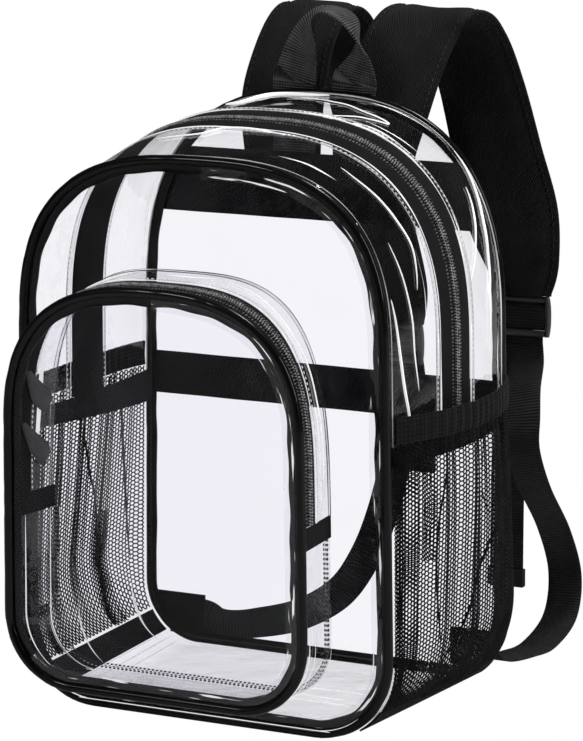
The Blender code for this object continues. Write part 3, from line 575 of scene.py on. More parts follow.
# The slots of a clear arch: sheet, doubled edge, stitches with a painted highlight, bright and soft painted
# glints
ARCH_LOOKS = [PVC_ARCH, PVC_SEAM, PALE_THREAD_PAINTED_HIGHLIGHT, PAINTED_GLINT, PAINTED_SOFT_GLINT]


# Clear sheets

def disc(name, outline, y, shift, depth, seed, node):
    """A clear panel inside its piping, a little uneven as soft sheet is."""
    loop = outline.loop()
    loop = loop - path_normals(loop, True) * INNER
    middle = np.array([0.0, (loop[:, 1].max() + loop[:, 1].min()) / 2])
    rows = []
    for share in np.linspace(1.0, 0.02, 30):
        ring = middle + (loop - middle) * share
        lift = depth * ripple(ring[:, 0], ring[:, 1], seed) * (1 - share**6)
        rows.append(np.stack([ring[:, 0] + shift, y + lift, ring[:, 1]], 1))
    shape = Shape()
    rows = np.array(rows)
    shape.grid(rows, uvs=rows[:, :, (0, 2)], wrap=True)
    shape.add(rows[-1], [range(len(loop))])
    shape.build(name, [PVC], [node], "clear_pvc")


def stitch_row(shape, path, outs, length, gap, radius, slot):
    """Short raised stitches along a path of 3-D points; outs point off the surface."""
    along = lengths_along(path)
    count = int(along[-1] / (length + gap))
    starts = (np.arange(count) + 0.5) * along[-1] / count
    centre = read(path, along, starts)
    forward = unit(read(path, along, starts + 1e-4) - read(path, along, starts - 1e-4))
    out = unit(read(outs, along, starts))
    side = np.cross(forward, out)
    corners = []
    for share, size in ((-1, 0.35), (-0.5, 1.0), (0.5, 1.0), (1, 0.35)):
        middle = centre + forward * length / 2 * share
        corners += around(middle, side, out, radius * size, 4, math.pi / 4)
    faces = [(i + j, i + (j + 1) % 4, i + 4 + (j + 1) % 4, i + 4 + j) for i in (0, 4, 8) for j in range(4)]
    shape.copies(np.stack(corners, 1), faces, slot)


class Arch(Shape):
    """A piece over the top of an outline, from one side's level to the other's."""

    def __init__(self, outline_at, level, shift=0.0):
        super().__init__()
        self.outline_at, self.level, self.shift = outline_at, level, shift

    def line(self, y, steps=90):
        """A row of points over the top at one depth, and their outward normals."""
        points = self.outline_at(y).arch(self.level, steps)
        return at_depth(points, y, self.shift), at_depth(path_normals(points), 0.0)

    def surface(self, ys, amplitude=0.0, seed=0.0, steps=90):
        """A row of points at each depth, uneven between the first and the last, and their normals."""
        rows, outs = [], []
        for y in ys:
            row, out = self.line(y, steps)
            share = (y - ys[0]) / (ys[-1] - ys[0])
            lift = amplitude * ripple(lengths_along(row), y, seed) * math.sin(math.pi * share) ** 0.7
            rows.append(row + out * lift[:, None])
            outs.append(out)
        return np.array(rows), np.array(outs)

    def seam_strip(self, y0, y1, seed):
        """A narrow doubled edge of the sheet, lifted off it and a little wavy."""
        rows, outs = self.surface(np.linspace(y0, y1, 4), 0.0002, seed)
        self.grid(rows + outs * 0.0005, slot=1)

    def stitches(self, y, lift=0.0008, length=0.0015, gap=0.0013, radius=0.00030, steps=90):
        path, out = self.line(y, steps)
        stitch_row(self, path + out * lift, out, length, gap, radius, 2)

    def glints(self, rows, outs, table):
        """Painted glints: glowing tubes along rolls of the sheet over rows [depth][along], a little off the
        sheet.
        """
        for radius, line in table:
            along, depth = smooth_rows(line, 9).T
            path = sample(rows, depth, along) + sample(outs, depth, along) * (SHEET / 2 + 0.0002)
            rope(self, path, radius, 3)

    def edge_line(self, y, radius, slot, seed):
        """A thin tube that runs the whole way over, with uneven thickness; with a glint slot it is a painted
        glint, with a thread slot a thread line.
        """
        path, out = self.line(y, 160)
        along = lengths_along(path)
        size = radius * (0.75 + 0.45 * np.sin(along * 83 + seed) * np.sin(along * 31 + 2 * seed))
        centre = path + out * 0.0007
        side = np.cross(unit(np.gradient(centre, axis=0)), out)
        self.tube(np.stack(around(centre, side, out, size[:, None], 6), 1), slot=slot)


# Painted glints: glowing tubes where light runs along rolls of the sheet, as (share along the arch from
# the right, share of the depth) points, with the line's greatest radius
BACK_GLINTS = (
    (0.00042, ((0.508, 0.644), (0.478, 0.61), (0.452, 0.559), (0.415, 0.441), (0.378, 0.39), (0.395, 0.288),
               (0.411, 0.237), (0.428, 0.136), (0.445, 0.034))),
    (0.0004, ((0.405, 0.03), (0.391, 0.09), (0.368, 0.1), (0.328, 0.07))),
    (0.00034, ((0.405, 0.03), (0.388, 0.03), (0.358, 0.04))),
    (0.0006, ((0.264, 0.661), (0.241, 0.61), (0.221, 0.492), (0.194, 0.305), (0.164, 0.085))),
    (0.00075, ((0.308, 0.97), (0.271, 0.932), (0.231, 0.797), (0.187, 0.644), (0.13, 0.525),
               (0.074, 0.475))),
    (0.0011, ((0.6, 0.5), (0.579, 0.475), (0.555, 0.78), (0.518, 0.847), (0.482, 0.915))),
    (0.0004, ((0.3, 0.985), (0.2, 0.985), (0.1, 0.985), (0.01, 0.985))))
FRONT_GLINTS = (
    (0.00055, ((0.351, 0.576), (0.304, 0.559), (0.261, 0.61), (0.221, 0.678), (0.177, 0.576))),
    (0.00075, ((0.177, 0.085), (0.114, 0.169), (0.043, 0.288), (0.01, 0.34))),
    (0.0006, ((0.6, 0.6), (0.548, 0.729), (0.525, 0.95), (0.485, 0.97), (0.445, 0.881))),
    (0.00045, ((0.24, 0.3), (0.15, 0.42), (0.06, 0.5))))
POCKET_GLINTS = (
    (0.0012, ((0.759, 0.136), (0.829, 0.373), (0.893, 0.39), (0.953, 0.237))),
    (0.0005, ((0.689, 0.45), (0.649, 0.424), (0.585, 0.593))),
    (0.00045, ((0.42, 0.5), (0.3, 0.42), (0.18, 0.55), (0.06, 0.48))))


def rope(shape, path, radius, slot):
    """A rod along a path, thickest in its middle and pointed at both ends."""
    ahead = unit(np.gradient(path, axis=0))
    side = unit(np.cross(ahead, (0.3, 0.2, 0.93)))
    size = radius * (0.12 + 0.88 * np.sin(math.pi * np.linspace(0, 1, len(path))) ** 0.6)
    shape.tube(np.stack(around(path, side, np.cross(ahead, side), size[:, None], 6), 1), slot=slot)


def tape_bottom(side, y):
    """Height of a side tape's lower edge, which falls from the front seam to the back."""
    share = (y - INNER) / (DEPTH - 2 * INNER)
    return SIDE_TAPE_TOP - SIDE_TAPE_HEIGHT - (LEFT_TAPE_SAG if side < 0 else RIGHT_TAPE_SAG) * share


def build_main_gussets():
    """The clear arches in front of and behind the main zip, doubled and stitched along it."""
    for word, near, far, seed, edge, table in (
            ("front", MAIN_ZIP_START - GAP, INNER, 0.4, -1, FRONT_GLINTS),
            ("back", MAIN_ZIP_END + GAP, DEPTH - INNER, 1.9, 1, BACK_GLINTS)):
        shape = Arch(shell_outline, SIDE_TAPE_TOP + GAP)
        rows, outs = shape.surface(np.linspace(min(near, far), max(near, far), 16), 0.0009, seed)
        shape.grid(rows)
        shape.seam_strip(near, near + edge * 0.0042, seed)
        shape.stitches(near + edge * 0.0035)
        # Painted glints: glowing tubes from the table, along the zip's edges and along the far edge
        shape.glints(rows, outs, table)
        shape.edge_line(near + edge * 0.0006, 0.00032, 3, seed)
        shape.edge_line(near + edge * 0.0044, 0.00026, 4, seed + 1)
        shape.edge_line(far - edge * 0.0012, 0.00028, 4, seed + 2)
        shape.build(word + "_gusset_sheet", ARCH_LOOKS, [word + "_gusset"], "clear_pvc")


def build_walls():
    """The side walls, and the base with painted glints, glowing tubes, along its edges."""
    foot_top = max(FRONT.corner, BACK.corner) + CORD
    ys = np.linspace(INNER, DEPTH - INNER, 24)
    for side, word in SIDES:
        rows = []
        for y in ys:
            outline = shell_outline(y)
            zs = np.linspace(foot_top + GAP, tape_bottom(side, y) - GAP, 20)
            lift = 0.0005 * ripple(zs, y, side)
            rows.append([(side * (outline.half_width(z, side) + a), y, z) for z, a in zip(zs, lift)])
        surface(rows, word + "_side_sheet", PVC, word + "_side_panel", "clear_pvc")
    shape = Shape()
    shape.grid([at_depth(shell_outline(y).foot(foot_top), y) for y in ys])
    # Painted glints: glowing tubes along the base's edges
    for height, radius in ((0.0042, 0.00045), (0.0062, 0.00030), (0.0024, 0.00035)):
        for side, word in SIDES:
            path = [(side * (shell_outline(y).half_width(height, side) + 0.0007), y, height)
                    for y in np.linspace(INNER + 0.002, DEPTH - INNER - 0.004, 30)]
            rope(shape, np.array(path), radius, 1)
    shape.build("base_sheet", [PVC_ARCH, PAINTED_GLINT], ["base_panel"], "clear_pvc")
    # A painted highlight: a glowing tube along the front binding's cord
    foot = FRONT.foot(0.030)
    foot = foot - path_normals(foot) * CORD * 0.72
    shape = Shape()
    rope(shape, at_depth(smooth_rows(foot[8:-14], 3), -CORD * 0.72 - 0.0002), 0.00026, 0)
    shape.build("front_binding_painted_highlight", [PAINTED_GLINT], (), "black_piping")


def build_pocket_sheets():
    """The front pocket's arch, and the gusset round its foot with the black seam strip."""
    seam = -SHEET / 2 - GAP
    shape = Arch(pocket_outline, POCKET_ZIP_END + GAP, POCKET_SHIFT)
    rows, outs = shape.surface(np.linspace(POCKET_ZIP_TOP + GAP, seam - SHEET / 2, 10), 0.0006, 3.1)
    shape.grid(rows)
    shape.seam_strip(POCKET_ZIP_TOP + GAP, POCKET_ZIP_TOP + 0.0036, 3.3)
    shape.seam_strip(seam - 0.0040, seam - SHEET / 2, 1.3)
    shape.stitches(POCKET_ZIP_TOP + 0.003)
    shape.glints(rows, outs, POCKET_GLINTS)
    # The first line is a painted glint; the other two are thread lines
    for y, radius, slot, seed in ((POCKET_ZIP_TOP + GAP + 0.0005, 0.00030, 3, 0.4),
                                  (seam - 0.0042, 0.00022, 5, 2.4), (seam - 0.0012, 0.00024, 5, 1.4)):
        shape.edge_line(y, radius, slot, seed)
    shape.build("pocket_gusset_sheet", ARCH_LOOKS + [THREAD], ["pocket_gusset"], "clear_pvc")
    foot_top = POCKET_ZIP_END - POCKET_TAB_HEIGHT - GAP
    shape = Shape()
    shape.grid([at_depth(pocket_outline(y).foot(foot_top), y, POCKET_SHIFT)
                for y in np.linspace(POCKET_ZIP_START, seam - SHEET / 2, 14)])
    # Painted glints: glowing tubes along the pocket's foot
    for y, radius in ((POCKET_ZIP_START + 0.0045, 0.0011), (POCKET_ZIP_START + 0.012, 0.0004),
                      (seam - 0.003, 0.0003)):
        edge = pocket_outline(y).foot(foot_top)
        edge = edge + path_normals(edge) * (SHEET / 2 + 0.0003)
        for part, size in ((edge[:14], radius), (edge[8:30], radius * 0.5), (edge[-24:-4], radius * 0.4)):
            rope(shape, smooth_rows(at_depth(part, y, POCKET_SHIFT), 2), size, 1)
    edge = pocket_outline(seam).foot(foot_top)
    up = -path_normals(edge)
    face = seam - SHEET - GAP
    shape.grid([at_depth(edge + up * lift, face, POCKET_SHIFT) for lift in (0.0006, 0.0020, 0.0036)], slot=3)
    forward = np.tile((0.0, -1.0, 0.0), (len(edge), 1))
    for lift, radius in ((0.0011, 0.00052), (0.0020, 0.00030), (0.0030, 0.00046)):
        row = at_depth(edge + up * lift, face - 0.0003, POCKET_SHIFT)
        stitch_row(shape, row, forward, 0.0015, 0.0009, radius, 2)
    shape.build("pocket_base_sheet", [PVC_ARCH, PAINTED_GLINT, THREAD, PVC_SEAM], ["pocket_base_gusset"], "clear_pvc")


# Piping

def piping(name, outline, y, side, shift, seed, node, width=1.0):
    """A bound cord round a panel, with the binding's tape inside the sheet, its edge uneven."""
    loop = outline.loop()
    normals = path_normals(loop, True)
    along = lengths_along(np.vstack([loop, loop[:1]]))[:-1]

    def line(inward, depth):
        points = loop - normals * np.reshape(inward, (-1, 1))
        return np.stack([points[:, 0] + shift, depth + 0 * along, points[:, 1]], 1)

    swell = np.minimum(1 + 0.05 * np.sin(along * 190 + seed) + 0.04 * np.sin(along * 431 + 2 * seed), 1.0)
    shape = Shape()
    cord = [line(CORD * math.cos(a) * swell, y + CORD * math.sin(a) * swell) for a in circle(14)]
    shape.tube(np.stack(cord, 1), closed=True)
    waves = np.sin(along * 97 + seed) * np.sin(along * 41) + np.sin(along * 260)
    reach = width * TAPE_REACH * (1 + 0.05 * waves)
    near = y + side * (SHEET / 2 + GAP)
    section = ((0.15, 0.0), (0.55, 0.0), (0.8, 0.0002), (1.0, 0.0), (1.0, 0.0009), (0.15, 0.0009))
    shape.tube(np.stack([line(reach * part, near + side * lift) for part, lift in section], 1), closed=True)
    # A strip of the clear edge sheet over part of the binding; its white streaks are painted highlights
    seen = np.arange(40, 80) if name == "back_binding" else np.roll(np.arange(len(loop)), 30)[:90]
    shape.grid([line(inward, y - side * (SHEET / 2 + 0.0002))[seen]
                for inward in np.linspace(INNER, width * TAPE_REACH + 0.0022, 5)], slot=1)
    shape.build(name, [VINYL, PVC_EDGE], [node], "black_piping")


# Zips

def zip_run(name, outline_at, level, start, end, shift, node):
    """A zip over the top: woven tape, two rows of interlocking coil and its stitches."""
    shape = Arch(outline_at, level, shift)
    middle = (start + end) / 2
    ys = np.linspace(start, end, 13)
    rows, outs = shape.surface(ys, steps=150)
    sink = np.where(np.abs(ys - middle) > 0.003, 0.0004, -0.0003)
    shape.grid(rows + outs * sink[:, None, None])
    shape.grid(rows - outs * 0.0005, flip=True)
    path, out = shape.line(middle, 400)
    along = lengths_along(path)
    for s in np.arange(COIL_PITCH, along[-1] - COIL_PITCH, COIL_PITCH):
        centre, normal = read(path, along, s), unit(read(out, along, s))
        ahead = np.cross((0, 1.0, 0), normal)
        for side in (-1, 1):
            place = centre + np.array([0, side * 0.0011, 0]) + ahead * side * COIL_PITCH / 4
            shape.box(place + normal * 0.00095, (0.0013, 0.00055, 0.0011), [(0, 1, 0), ahead, normal], 1)
    for away in (-0.0044, -0.0034, 0.0034, 0.0044):
        shape.stitches(middle + away, 0.00055, 0.0010, 0.0009, 0.00022, 300)
    shape.build(name, [ZIP_TAPE, COIL_PAINTED_GLINTS, THREAD_PAINTED_SPECKS], [node], "black_zip", angle=50)


# Net pockets

# How far the pocket stands out along the wall: place, share at the mouth, share below
BILLOW_TABLE = np.array(((0, 0.02, 0.02), (0.1, 0.24, 0.35), (0.25, 0.42, 0.68), (0.45, 0.5, 0.95),
                         (0.65, 0.46, 1.08), (0.85, 0.32, 0.98), (0.95, 0.16, 0.5), (1, 0.02, 0.02)))
NET_WIDTH = 0.158
# Side and height of a net's cell, and its strand's radius, where it lies single and double
NET_CELL = (0.0017, 0.0023, 0.00046)
DOUBLED_CELL = (0.0016, 0.0022, 0.00040)


def billow_at(along, column):
    return np.interp(along, BILLOW_TABLE[:, 0], BILLOW_TABLE[:, column])


def mesh_lift(along, up):
    fullness = 0.15 + 0.85 * math.sin(math.pi / 2 * min(1.0, up / 0.31))
    billow = MESH_BILLOW * (billow_at(along, 1) * up + billow_at(along, 2) * (1 - up) * fullness)
    edge = math.sin(math.pi * along)
    fade = (1 + 2 * up) / 3 * min(1.0, up / 0.17)
    fold = MESH_FOLD * math.cos(2 * math.pi * MESH_FOLDS * along) * edge * fade
    gather = 0.0006 * math.sin(2 * math.pi * 17 * along + 3 * up) * edge * up
    return SHEET / 2 + GAP + MESH_THICKNESS / 2 + FACET_ROOM + max(0.0, billow + fold + gather)


def side_surface(side, bottom, top, rows, columns, lift):
    """Points [depth][height] of a sheet that stands off the body's side."""
    grid = []
    for y in np.linspace(INNER, DEPTH - INNER, columns):
        outline = shell_outline(y)
        low = bottom(side, y) if callable(bottom) else bottom
        line = []
        for z in np.linspace(low, top, rows):
            slope = outline.slope(z, side)
            out = lift((y - INNER) / (DEPTH - 2 * INNER), (z - low) / (top - low)) / math.hypot(1, slope)
            line.append((side * (outline.half_width(z, side) + out), y, z - out * slope))
        grid.append(line)
    return np.array(grid)


def sample(grid, u, v):
    """Reads a grid of points between its rows and columns."""
    n, m = grid.shape[:2]
    a, b = np.clip(u, 0, 1) * (n - 1), np.clip(v, 0, 1) * (m - 1)
    i, j = np.minimum(a.astype(int), n - 2), np.minimum(b.astype(int), m - 2)
    a, b = (a - i)[:, None], (b - j)[:, None]
    return (grid[i, j] * (1 - a) * (1 - b) + grid[i + 1, j] * a * (1 - b)
            + grid[i, j + 1] * (1 - a) * b + grid[i + 1, j + 1] * a * b)


def net(shape, grid, width, height, a, pitch, radius):
    """Hexagonal net strands over a surface, as three-sided rods; a is a cell's side, pitch its height."""
    columns, rows = int(width / (1.5 * a)) + 2, int(height / pitch) + 2
    i, j = np.meshgrid(np.arange(columns), np.arange(rows), indexing="ij")
    x = (i * 1.5 * a).ravel()
    y = ((j + 0.5 * (i % 2)) * pitch).ravel()
    half, rise = a / 2, pitch / 2
    ends = np.vstack([np.stack([x + x0, y + y0, x + x1, y + y1], 1) for x0, y0, x1, y1 in
                      ((-half, rise, half, rise), (half, rise, a, 0), (-half, rise, -a, 0))])
    reach = np.array((width, height, width, height))
    u, v, u1, v1 = (ends[((ends > 0) & (ends < reach)).all(1)] / reach).T
    p, q = sample(grid, u, v), sample(grid, u1, v1)
    step = 0.002
    normal = unit(np.cross(sample(grid, u + step, v) - sample(grid, u - step, v),
                           sample(grid, u, v + step) - sample(grid, u, v - step)))
    side = np.cross(unit(q - p), normal)
    points = [point for end in (p, q) for point in around(end, side, normal, radius, 3, math.pi / 2)]
    shape.copies(np.stack(points, 1), [(0, 1, 4, 3), (1, 2, 5, 4), (2, 0, 3, 5)])


# Where each gathered net lies double: from and to along the depth, from and to up the height
FOLD_TABLE = {1: ((0, 0.13, 0, 0.98), (0.01, 0.07, 0, 0.98), (0.13, 0.2, 0.55, 0.92),
                  (0.88, 0.98, 0, 1), (0.3, 0.8, 0, 0.05)),
              -1: ((0.71, 0.84, 0, 0.45), (0.2, 0.3, 0, 0.18))}
# Sharp folds, as (along, up) points with their thickness
CREASE_TABLE = {
    1: ((0.001, ((0.27, 0.98), (0.21, 0.75), (0.19, 0.55), (0.21, 0.35), (0.24, 0.2))),
        (0.0012, ((0.65, 0.67), (0.57, 0.56), (0.49, 0.45), (0.37, 0.27), (0.26, 0.11))),
        (0.001, ((0.65, 0.96), (0.7, 0.74), (0.74, 0.52), (0.7, 0.4), (0.66, 0.28))),
        (0.0006, ((0.525, 0.97), (0.51, 0.8), (0.52, 0.72), (0.56, 0.66))),
        (0.0009, ((0.1, 0.1), (0.3, 0.075), (0.55, 0.055), (0.8, 0.02)))),
    -1: ((0.0011, ((0.52, 0.98), (0.56, 0.83), (0.64, 0.62), (0.72, 0.4), (0.74, 0.2))),
         (0.0006, ((0.735, 0.99), (0.738, 0.75), (0.74, 0.52))),
         (0.0013, ((0.83, 0.99), (0.86, 0.8), (0.9, 0.55), (0.95, 0.2))))}


def side_band(side, name, node, material, thickness, rows):
    """A sewn band along the wall, from rows of points."""
    return solidify(surface(rows, name, material, node, "black_twill", flip=side > 0), thickness)


def build_side_pocket(side, word):
    tall, wide = 90, 110
    fine = side_surface(side, MESH_BOTTOM, MESH_TOP, tall, wide, mesh_lift)
    shape = Shape()
    net(shape, fine, NET_WIDTH, MESH_TOP - MESH_BOTTOM, *NET_CELL)
    for radius, line in CREASE_TABLE[side]:
        along, up = smooth_rows(line, 8).T
        rope(shape, sample(fine, along, up) - np.array([side * 0.0003, 0, 0]), radius * 0.6, 0)
    for start, end, bottom, top in FOLD_TABLE[side]:
        strip = fine[int(start * wide):int(end * wide), int(bottom * tall):int(top * tall)]
        net(shape, strip - np.array([side * 0.0003, 0.0007, 0.0009]), NET_WIDTH * (end - start),
            (MESH_TOP - MESH_BOTTOM) * (top - bottom), *DOUBLED_CELL)
    netting = shape.build(word + "_net", [NET], [word + "_mesh_pocket"], "black_mesh", smooth=False)

    def elastic(along, up):
        gather = 0.0005 * math.sin(2 * math.pi * 19 * along) * math.sin(math.pi * along)
        roll = 0.0004 * math.sin(math.pi * up)
        rest = SHEET / 2 + GAP + ELASTIC_THICKNESS / 2 + FACET_ROOM
        return rest + MESH_BILLOW * billow_at(along, 1) + gather + roll

    rows = side_surface(side, MESH_TOP + GAP, MESH_TOP + GAP + ELASTIC_HEIGHT, 10, 130, elastic)
    band_piece = side_band(side, word + "_elastic_band", word + "_elastic", ELASTIC, 0.0014, rows)
    cloth(band_piece, rows)
    rows = side_surface(side, HEM_BOTTOM, MESH_BOTTOM - GAP, 8, 60,
                        lambda along, up: SHEET + GAP + FACET_ROOM)
    hem = side_band(side, word + "_hem_band", word + "_hem", BINDING, MESH_THICKNESS, rows)
    cloth(netting, fine)
    rows = side_surface(side, tape_bottom, SIDE_TAPE_TOP, 10, 60, lambda along, up: 0.0)
    tape = side_band(side, word + "_side_tape_cloth", word + "_side_tape", TWILL, SHEET, rows)
    cloth(tape, rows)


# Bands, straps and webbing

def smooth_rows(rows, steps):
    """A smooth run of rows through a table's rows, by Catmull-Rom."""
    rows = np.array(rows, float)
    padded = np.vstack([rows[:1], rows, rows[-1:]])
    result = []
    for a, b, c, d in zip(padded, padded[1:], padded[2:], padded[3:]):
        for step in range(steps):
            t = step / steps
            result.append(0.5 * (2 * b + (c - a) * t + (2 * a - 5 * b + 4 * c - d) * t**2
                                 + (3 * b - a - 3 * c + d) * t**3))
    result.append(rows[-1])
    return np.array(result)


def frames(path):
    """Centre, across and out directions at each row of a band's route."""
    centre = path[:, :3]
    along = unit(np.gradient(centre, axis=0))
    turn, tilt = np.radians(path[:, 4]), np.radians(path[:, 5])
    across = np.stack([np.cos(turn) * np.cos(tilt), np.sin(turn) * np.cos(tilt), np.sin(tilt)], 1)
    across = unit(across - along * (across * along).sum(1, keepdims=True))
    return centre, across, np.cross(across, along)


def band(shape, path, section, slot=0):
    """A band along a route; section(width) gives (across, out) pairs."""
    centre, across, out = frames(path)
    pairs = np.array([section(width) for width in path[:, 3]])
    rings = centre[:, None] + across[:, None] * pairs[..., :1] + out[:, None] * pairs[..., 1:]
    middle = np.array(section(path[:, 3].mean()))
    uvs = np.stack(np.meshgrid(lengths_along(centre), middle[:, 0], indexing="ij"), 2)
    shape.grid(rings, uvs, wrap=True, slot=slot)
    shape.ends(*rings.shape[:2], slot)
    return centre, across, out


def edge_arc(outer, radius):
    """The rounded edge of a band's section, whose outermost point is given."""
    return [(outer - radius + radius * math.cos(a), radius * math.sin(a))
            for a in np.linspace(-math.pi / 2, math.pi / 2, 5)]


def flat(thickness):
    """A flat band's section with rounded edges."""
    def section(width):
        half, r = width / 2, thickness / 2
        ends = edge_arc(half, r)
        top = [(x, r) for x in np.linspace(half - r, -half + r, 9)[1:-1]]
        return ends + top + [(-x, -z) for x, z in ends] + [(-x, -z) for x, z in top]
    return section


def padded(width):
    """A padded strap's section: bound edges, then a full middle with a soft crown."""
    edge, half = STRAP_EDGE / 2, STRAP_THICKNESS / 2
    inner = width / 2 - STRAP_BINDING
    side = edge_arc(width / 2, edge) + [(inner + 0.0012, edge)]
    top = []
    for t in np.linspace(0, 1, 13):
        x = inner * (1 - 2 * t)
        rise = (1 - abs(1 - 2 * t) ** 5) ** 0.5
        top.append((x, edge * 0.8 + (half - edge * 0.8) * (0.25 + 0.75 * rise)))
    upper = side + top + [(-inner - 0.0012, edge)]
    lower = [(-x, -z) for x, z in upper]
    return upper + lower


# Routes of the bands over the bag: x, out and up in shares, then turn and tilt in degrees and the share
# of the full width, which are 0, 0 and 1 where a row leaves them out
RIGHT_STRAP_TABLE = (
    (0.25, 0, 0.485, 0, 0, 0.9), (0.255, 0.006, 0.694, 0, 0, 0.9), (0.292, 0.095, 0.956, 2),
    (0.33, 0.25, 1.192, 6), (0.377, 0.417, 1.323, 6), (0.439, 0.595, 1.332, 3), (0.462, 0.786, 1.21),
    (0.514, 0.893, 0.974, 2), (0.59, 0.94, 0.651, 8), (0.665, 0.964, 0.362, 15),
    (0.709, 1, 0.135, 10, 0, 0.81), (0.717, 1, 0, 4, 0, 0.62))
LEFT_STRAP_TABLE = (
    (-0.25, 0, 0.563, 0, 0, 0.9), (-0.255, 0.006, 0.741, 0, 0, 0.9), (-0.288, 0.095, 0.963, -2),
    (-0.283, 0.25, 1.163, -8), (-0.259, 0.417, 1.281, -10), (-0.241, 0.595, 1.289, -10),
    (-0.226, 0.786, 1.178, -12), (-0.184, 0.893, 0.948, -18), (-0.123, 0.94, 0.681, -23),
    (-0.057, 0.964, 0.407, -25), (0.011, 1, 0.148, -16, 0, 0.81), (0.019, 1, 0, -10, 0, 0.62))
RIGHT_WEBBING_TABLE = (
    (0.726, 1, 1, 4), (0.728, 0.995, 0.97, 4), (0.755, 0.929, 0.922), (0.802, 0.75, 0.859),
    (0.84, 0.643, 0.775), (0.849, 0.619, 0.679), (0.849, 0.798, 0.535), (0.849, 1.119, 0.361),
    (0.858, 1.286, 0.192), (0.877, 1.155, 0.06), (0.896, 0.762, 0.012), (0.901, 0.417, 0.024),
    (0.877, 0.131, 0.042), (0.854, 0.018, 0.072), (0.842, -0.023, 0.114), (0.84, -0.0298, 0.15))
LEFT_WEBBING_TABLE = (
    (0.021, 1, 1, -10), (0.023, 0.998, 0.96, -10), (0.033, 0.976, 0.857, -10), (0, 0.94, 0.603, -8, -8),
    (-0.052, 0.881, 0.411, -10, -18), (-0.123, 0.81, 0.254, -15, -30), (-0.222, 0.702, 0.13, -30, -40),
    (-0.358, 0.488, 0.063, -50, -40), (-0.509, 0.226, 0.051, -72, -35), (-0.66, 0.095, 0.051, -85, -38),
    (-0.755, 0.048, 0.075, -90, -70), (-0.83, -0.0131, 0.082, -90, -90), (-0.906, -0.0274, 0.086, -90, -90))
RIGHT_TAIL_TABLE = (
    (0.665, 1, 1, 4), (0.642, 1, 0.85, 2), (0.618, 1, 0.5), (0.613, 1, 0.15))
LEFT_TAIL_TABLE = (
    (0.04, 1, 1, -10), (0.08, 1, 0.78, -10), (0.1, 1, 0.55, -10))
HANDLE_TABLE = (
    (-1, 0, 0.82), (-1, 0, 0.934), (-1, 0, 1.01), (-0.943, 0, 1.026), (-0.686, 0.04, 1.085, -26),
    (-0.171, -0.04, 1.131, -58), (0.457, -0.08, 1.141, -84), (1, -0.04, 1.118, -78),
    (1.171, 0.04, 1.072, -48), (1.057, 0, 1.026), (1, 0, 1.01), (1, 0, 0.934), (1, 0, 0.82))


def route(table, scale, start, full_width, steps):
    """A smooth route with rows of x, y, z, width, turn and tilt, from a table of shares."""
    rows = []
    for row in table:
        x, out, up, turn, tilt, width = (*row, *(0, 0, 1.0)[len(row) - 3:])
        y, z = start[0] + out * scale[1], start[1] + up * scale[2]
        rows.append((x * scale[0], y, z, width * full_width, turn, tilt))
    return smooth_rows(rows, steps)


def buckle(name, place, turn, node):
    """A ladder-lock buckle: curved side rails and three bars, the webbing between them."""
    shape = Shape()
    w, h, t, b = BUCKLE_WIDTH, BUCKLE_HEIGHT, BUCKLE_THICKNESS, BUCKLE_BAR
    c, s = math.cos(math.radians(turn)), math.sin(math.radians(turn))
    axes = np.array([(c, s, 0), (-s, c, 0), (0, 0, 1)])

    def placed(points):
        return np.array(points) @ axes + np.array(place)

    for side in (-1, 1):
        rings = []
        for share in np.linspace(-1, 1, 13):
            middle = side * (w / 2 - b / 2 - 0.0006 * share**2)
            half = b / 2 * (1 - 0.25 * share**4)
            deep = t / 2 * (1 - 0.30 * share**2)
            rings.append(placed([(middle + half * math.cos(a), deep * math.sin(a), share * h / 2)
                                 for a in circle(12)]))
        shape.tube(rings)
    for level, deep in ((-1, 0.9 * t / 2), (0, 0.45 * t / 2), (1, 0.9 * t / 2)):
        shape.tube([placed([(share * (w / 2 - b), 0.0005 * level + deep * math.cos(a),
                             level * (h / 2 - b / 2) + b / 2 * math.sin(a)) for a in circle(12)])
                    for share in np.linspace(-1, 1, 9)])
    tall, wide = h / 2 - b - 0.0003, w - 2 * b + 0.0010
    wrap = [(*placed((0, 0.0020 * share**4 - 0.0013, share * tall)), wide, turn, 0)
            for share in np.linspace(-1, 1, 17)]
    band(shape, np.array(wrap), flat(0.0012), 1)
    shape.build(name, [PLASTIC, RIBBED], [node], "grey_plastic", angle=50)


def hang(shape, path, name, material, node):
    """Builds a band of webbing; the length of its route is worked out and not used."""
    piece = shape.build(name, [material], [node], "black_webbing")
    length = float(lengths_along(path[:, :3])[-1])


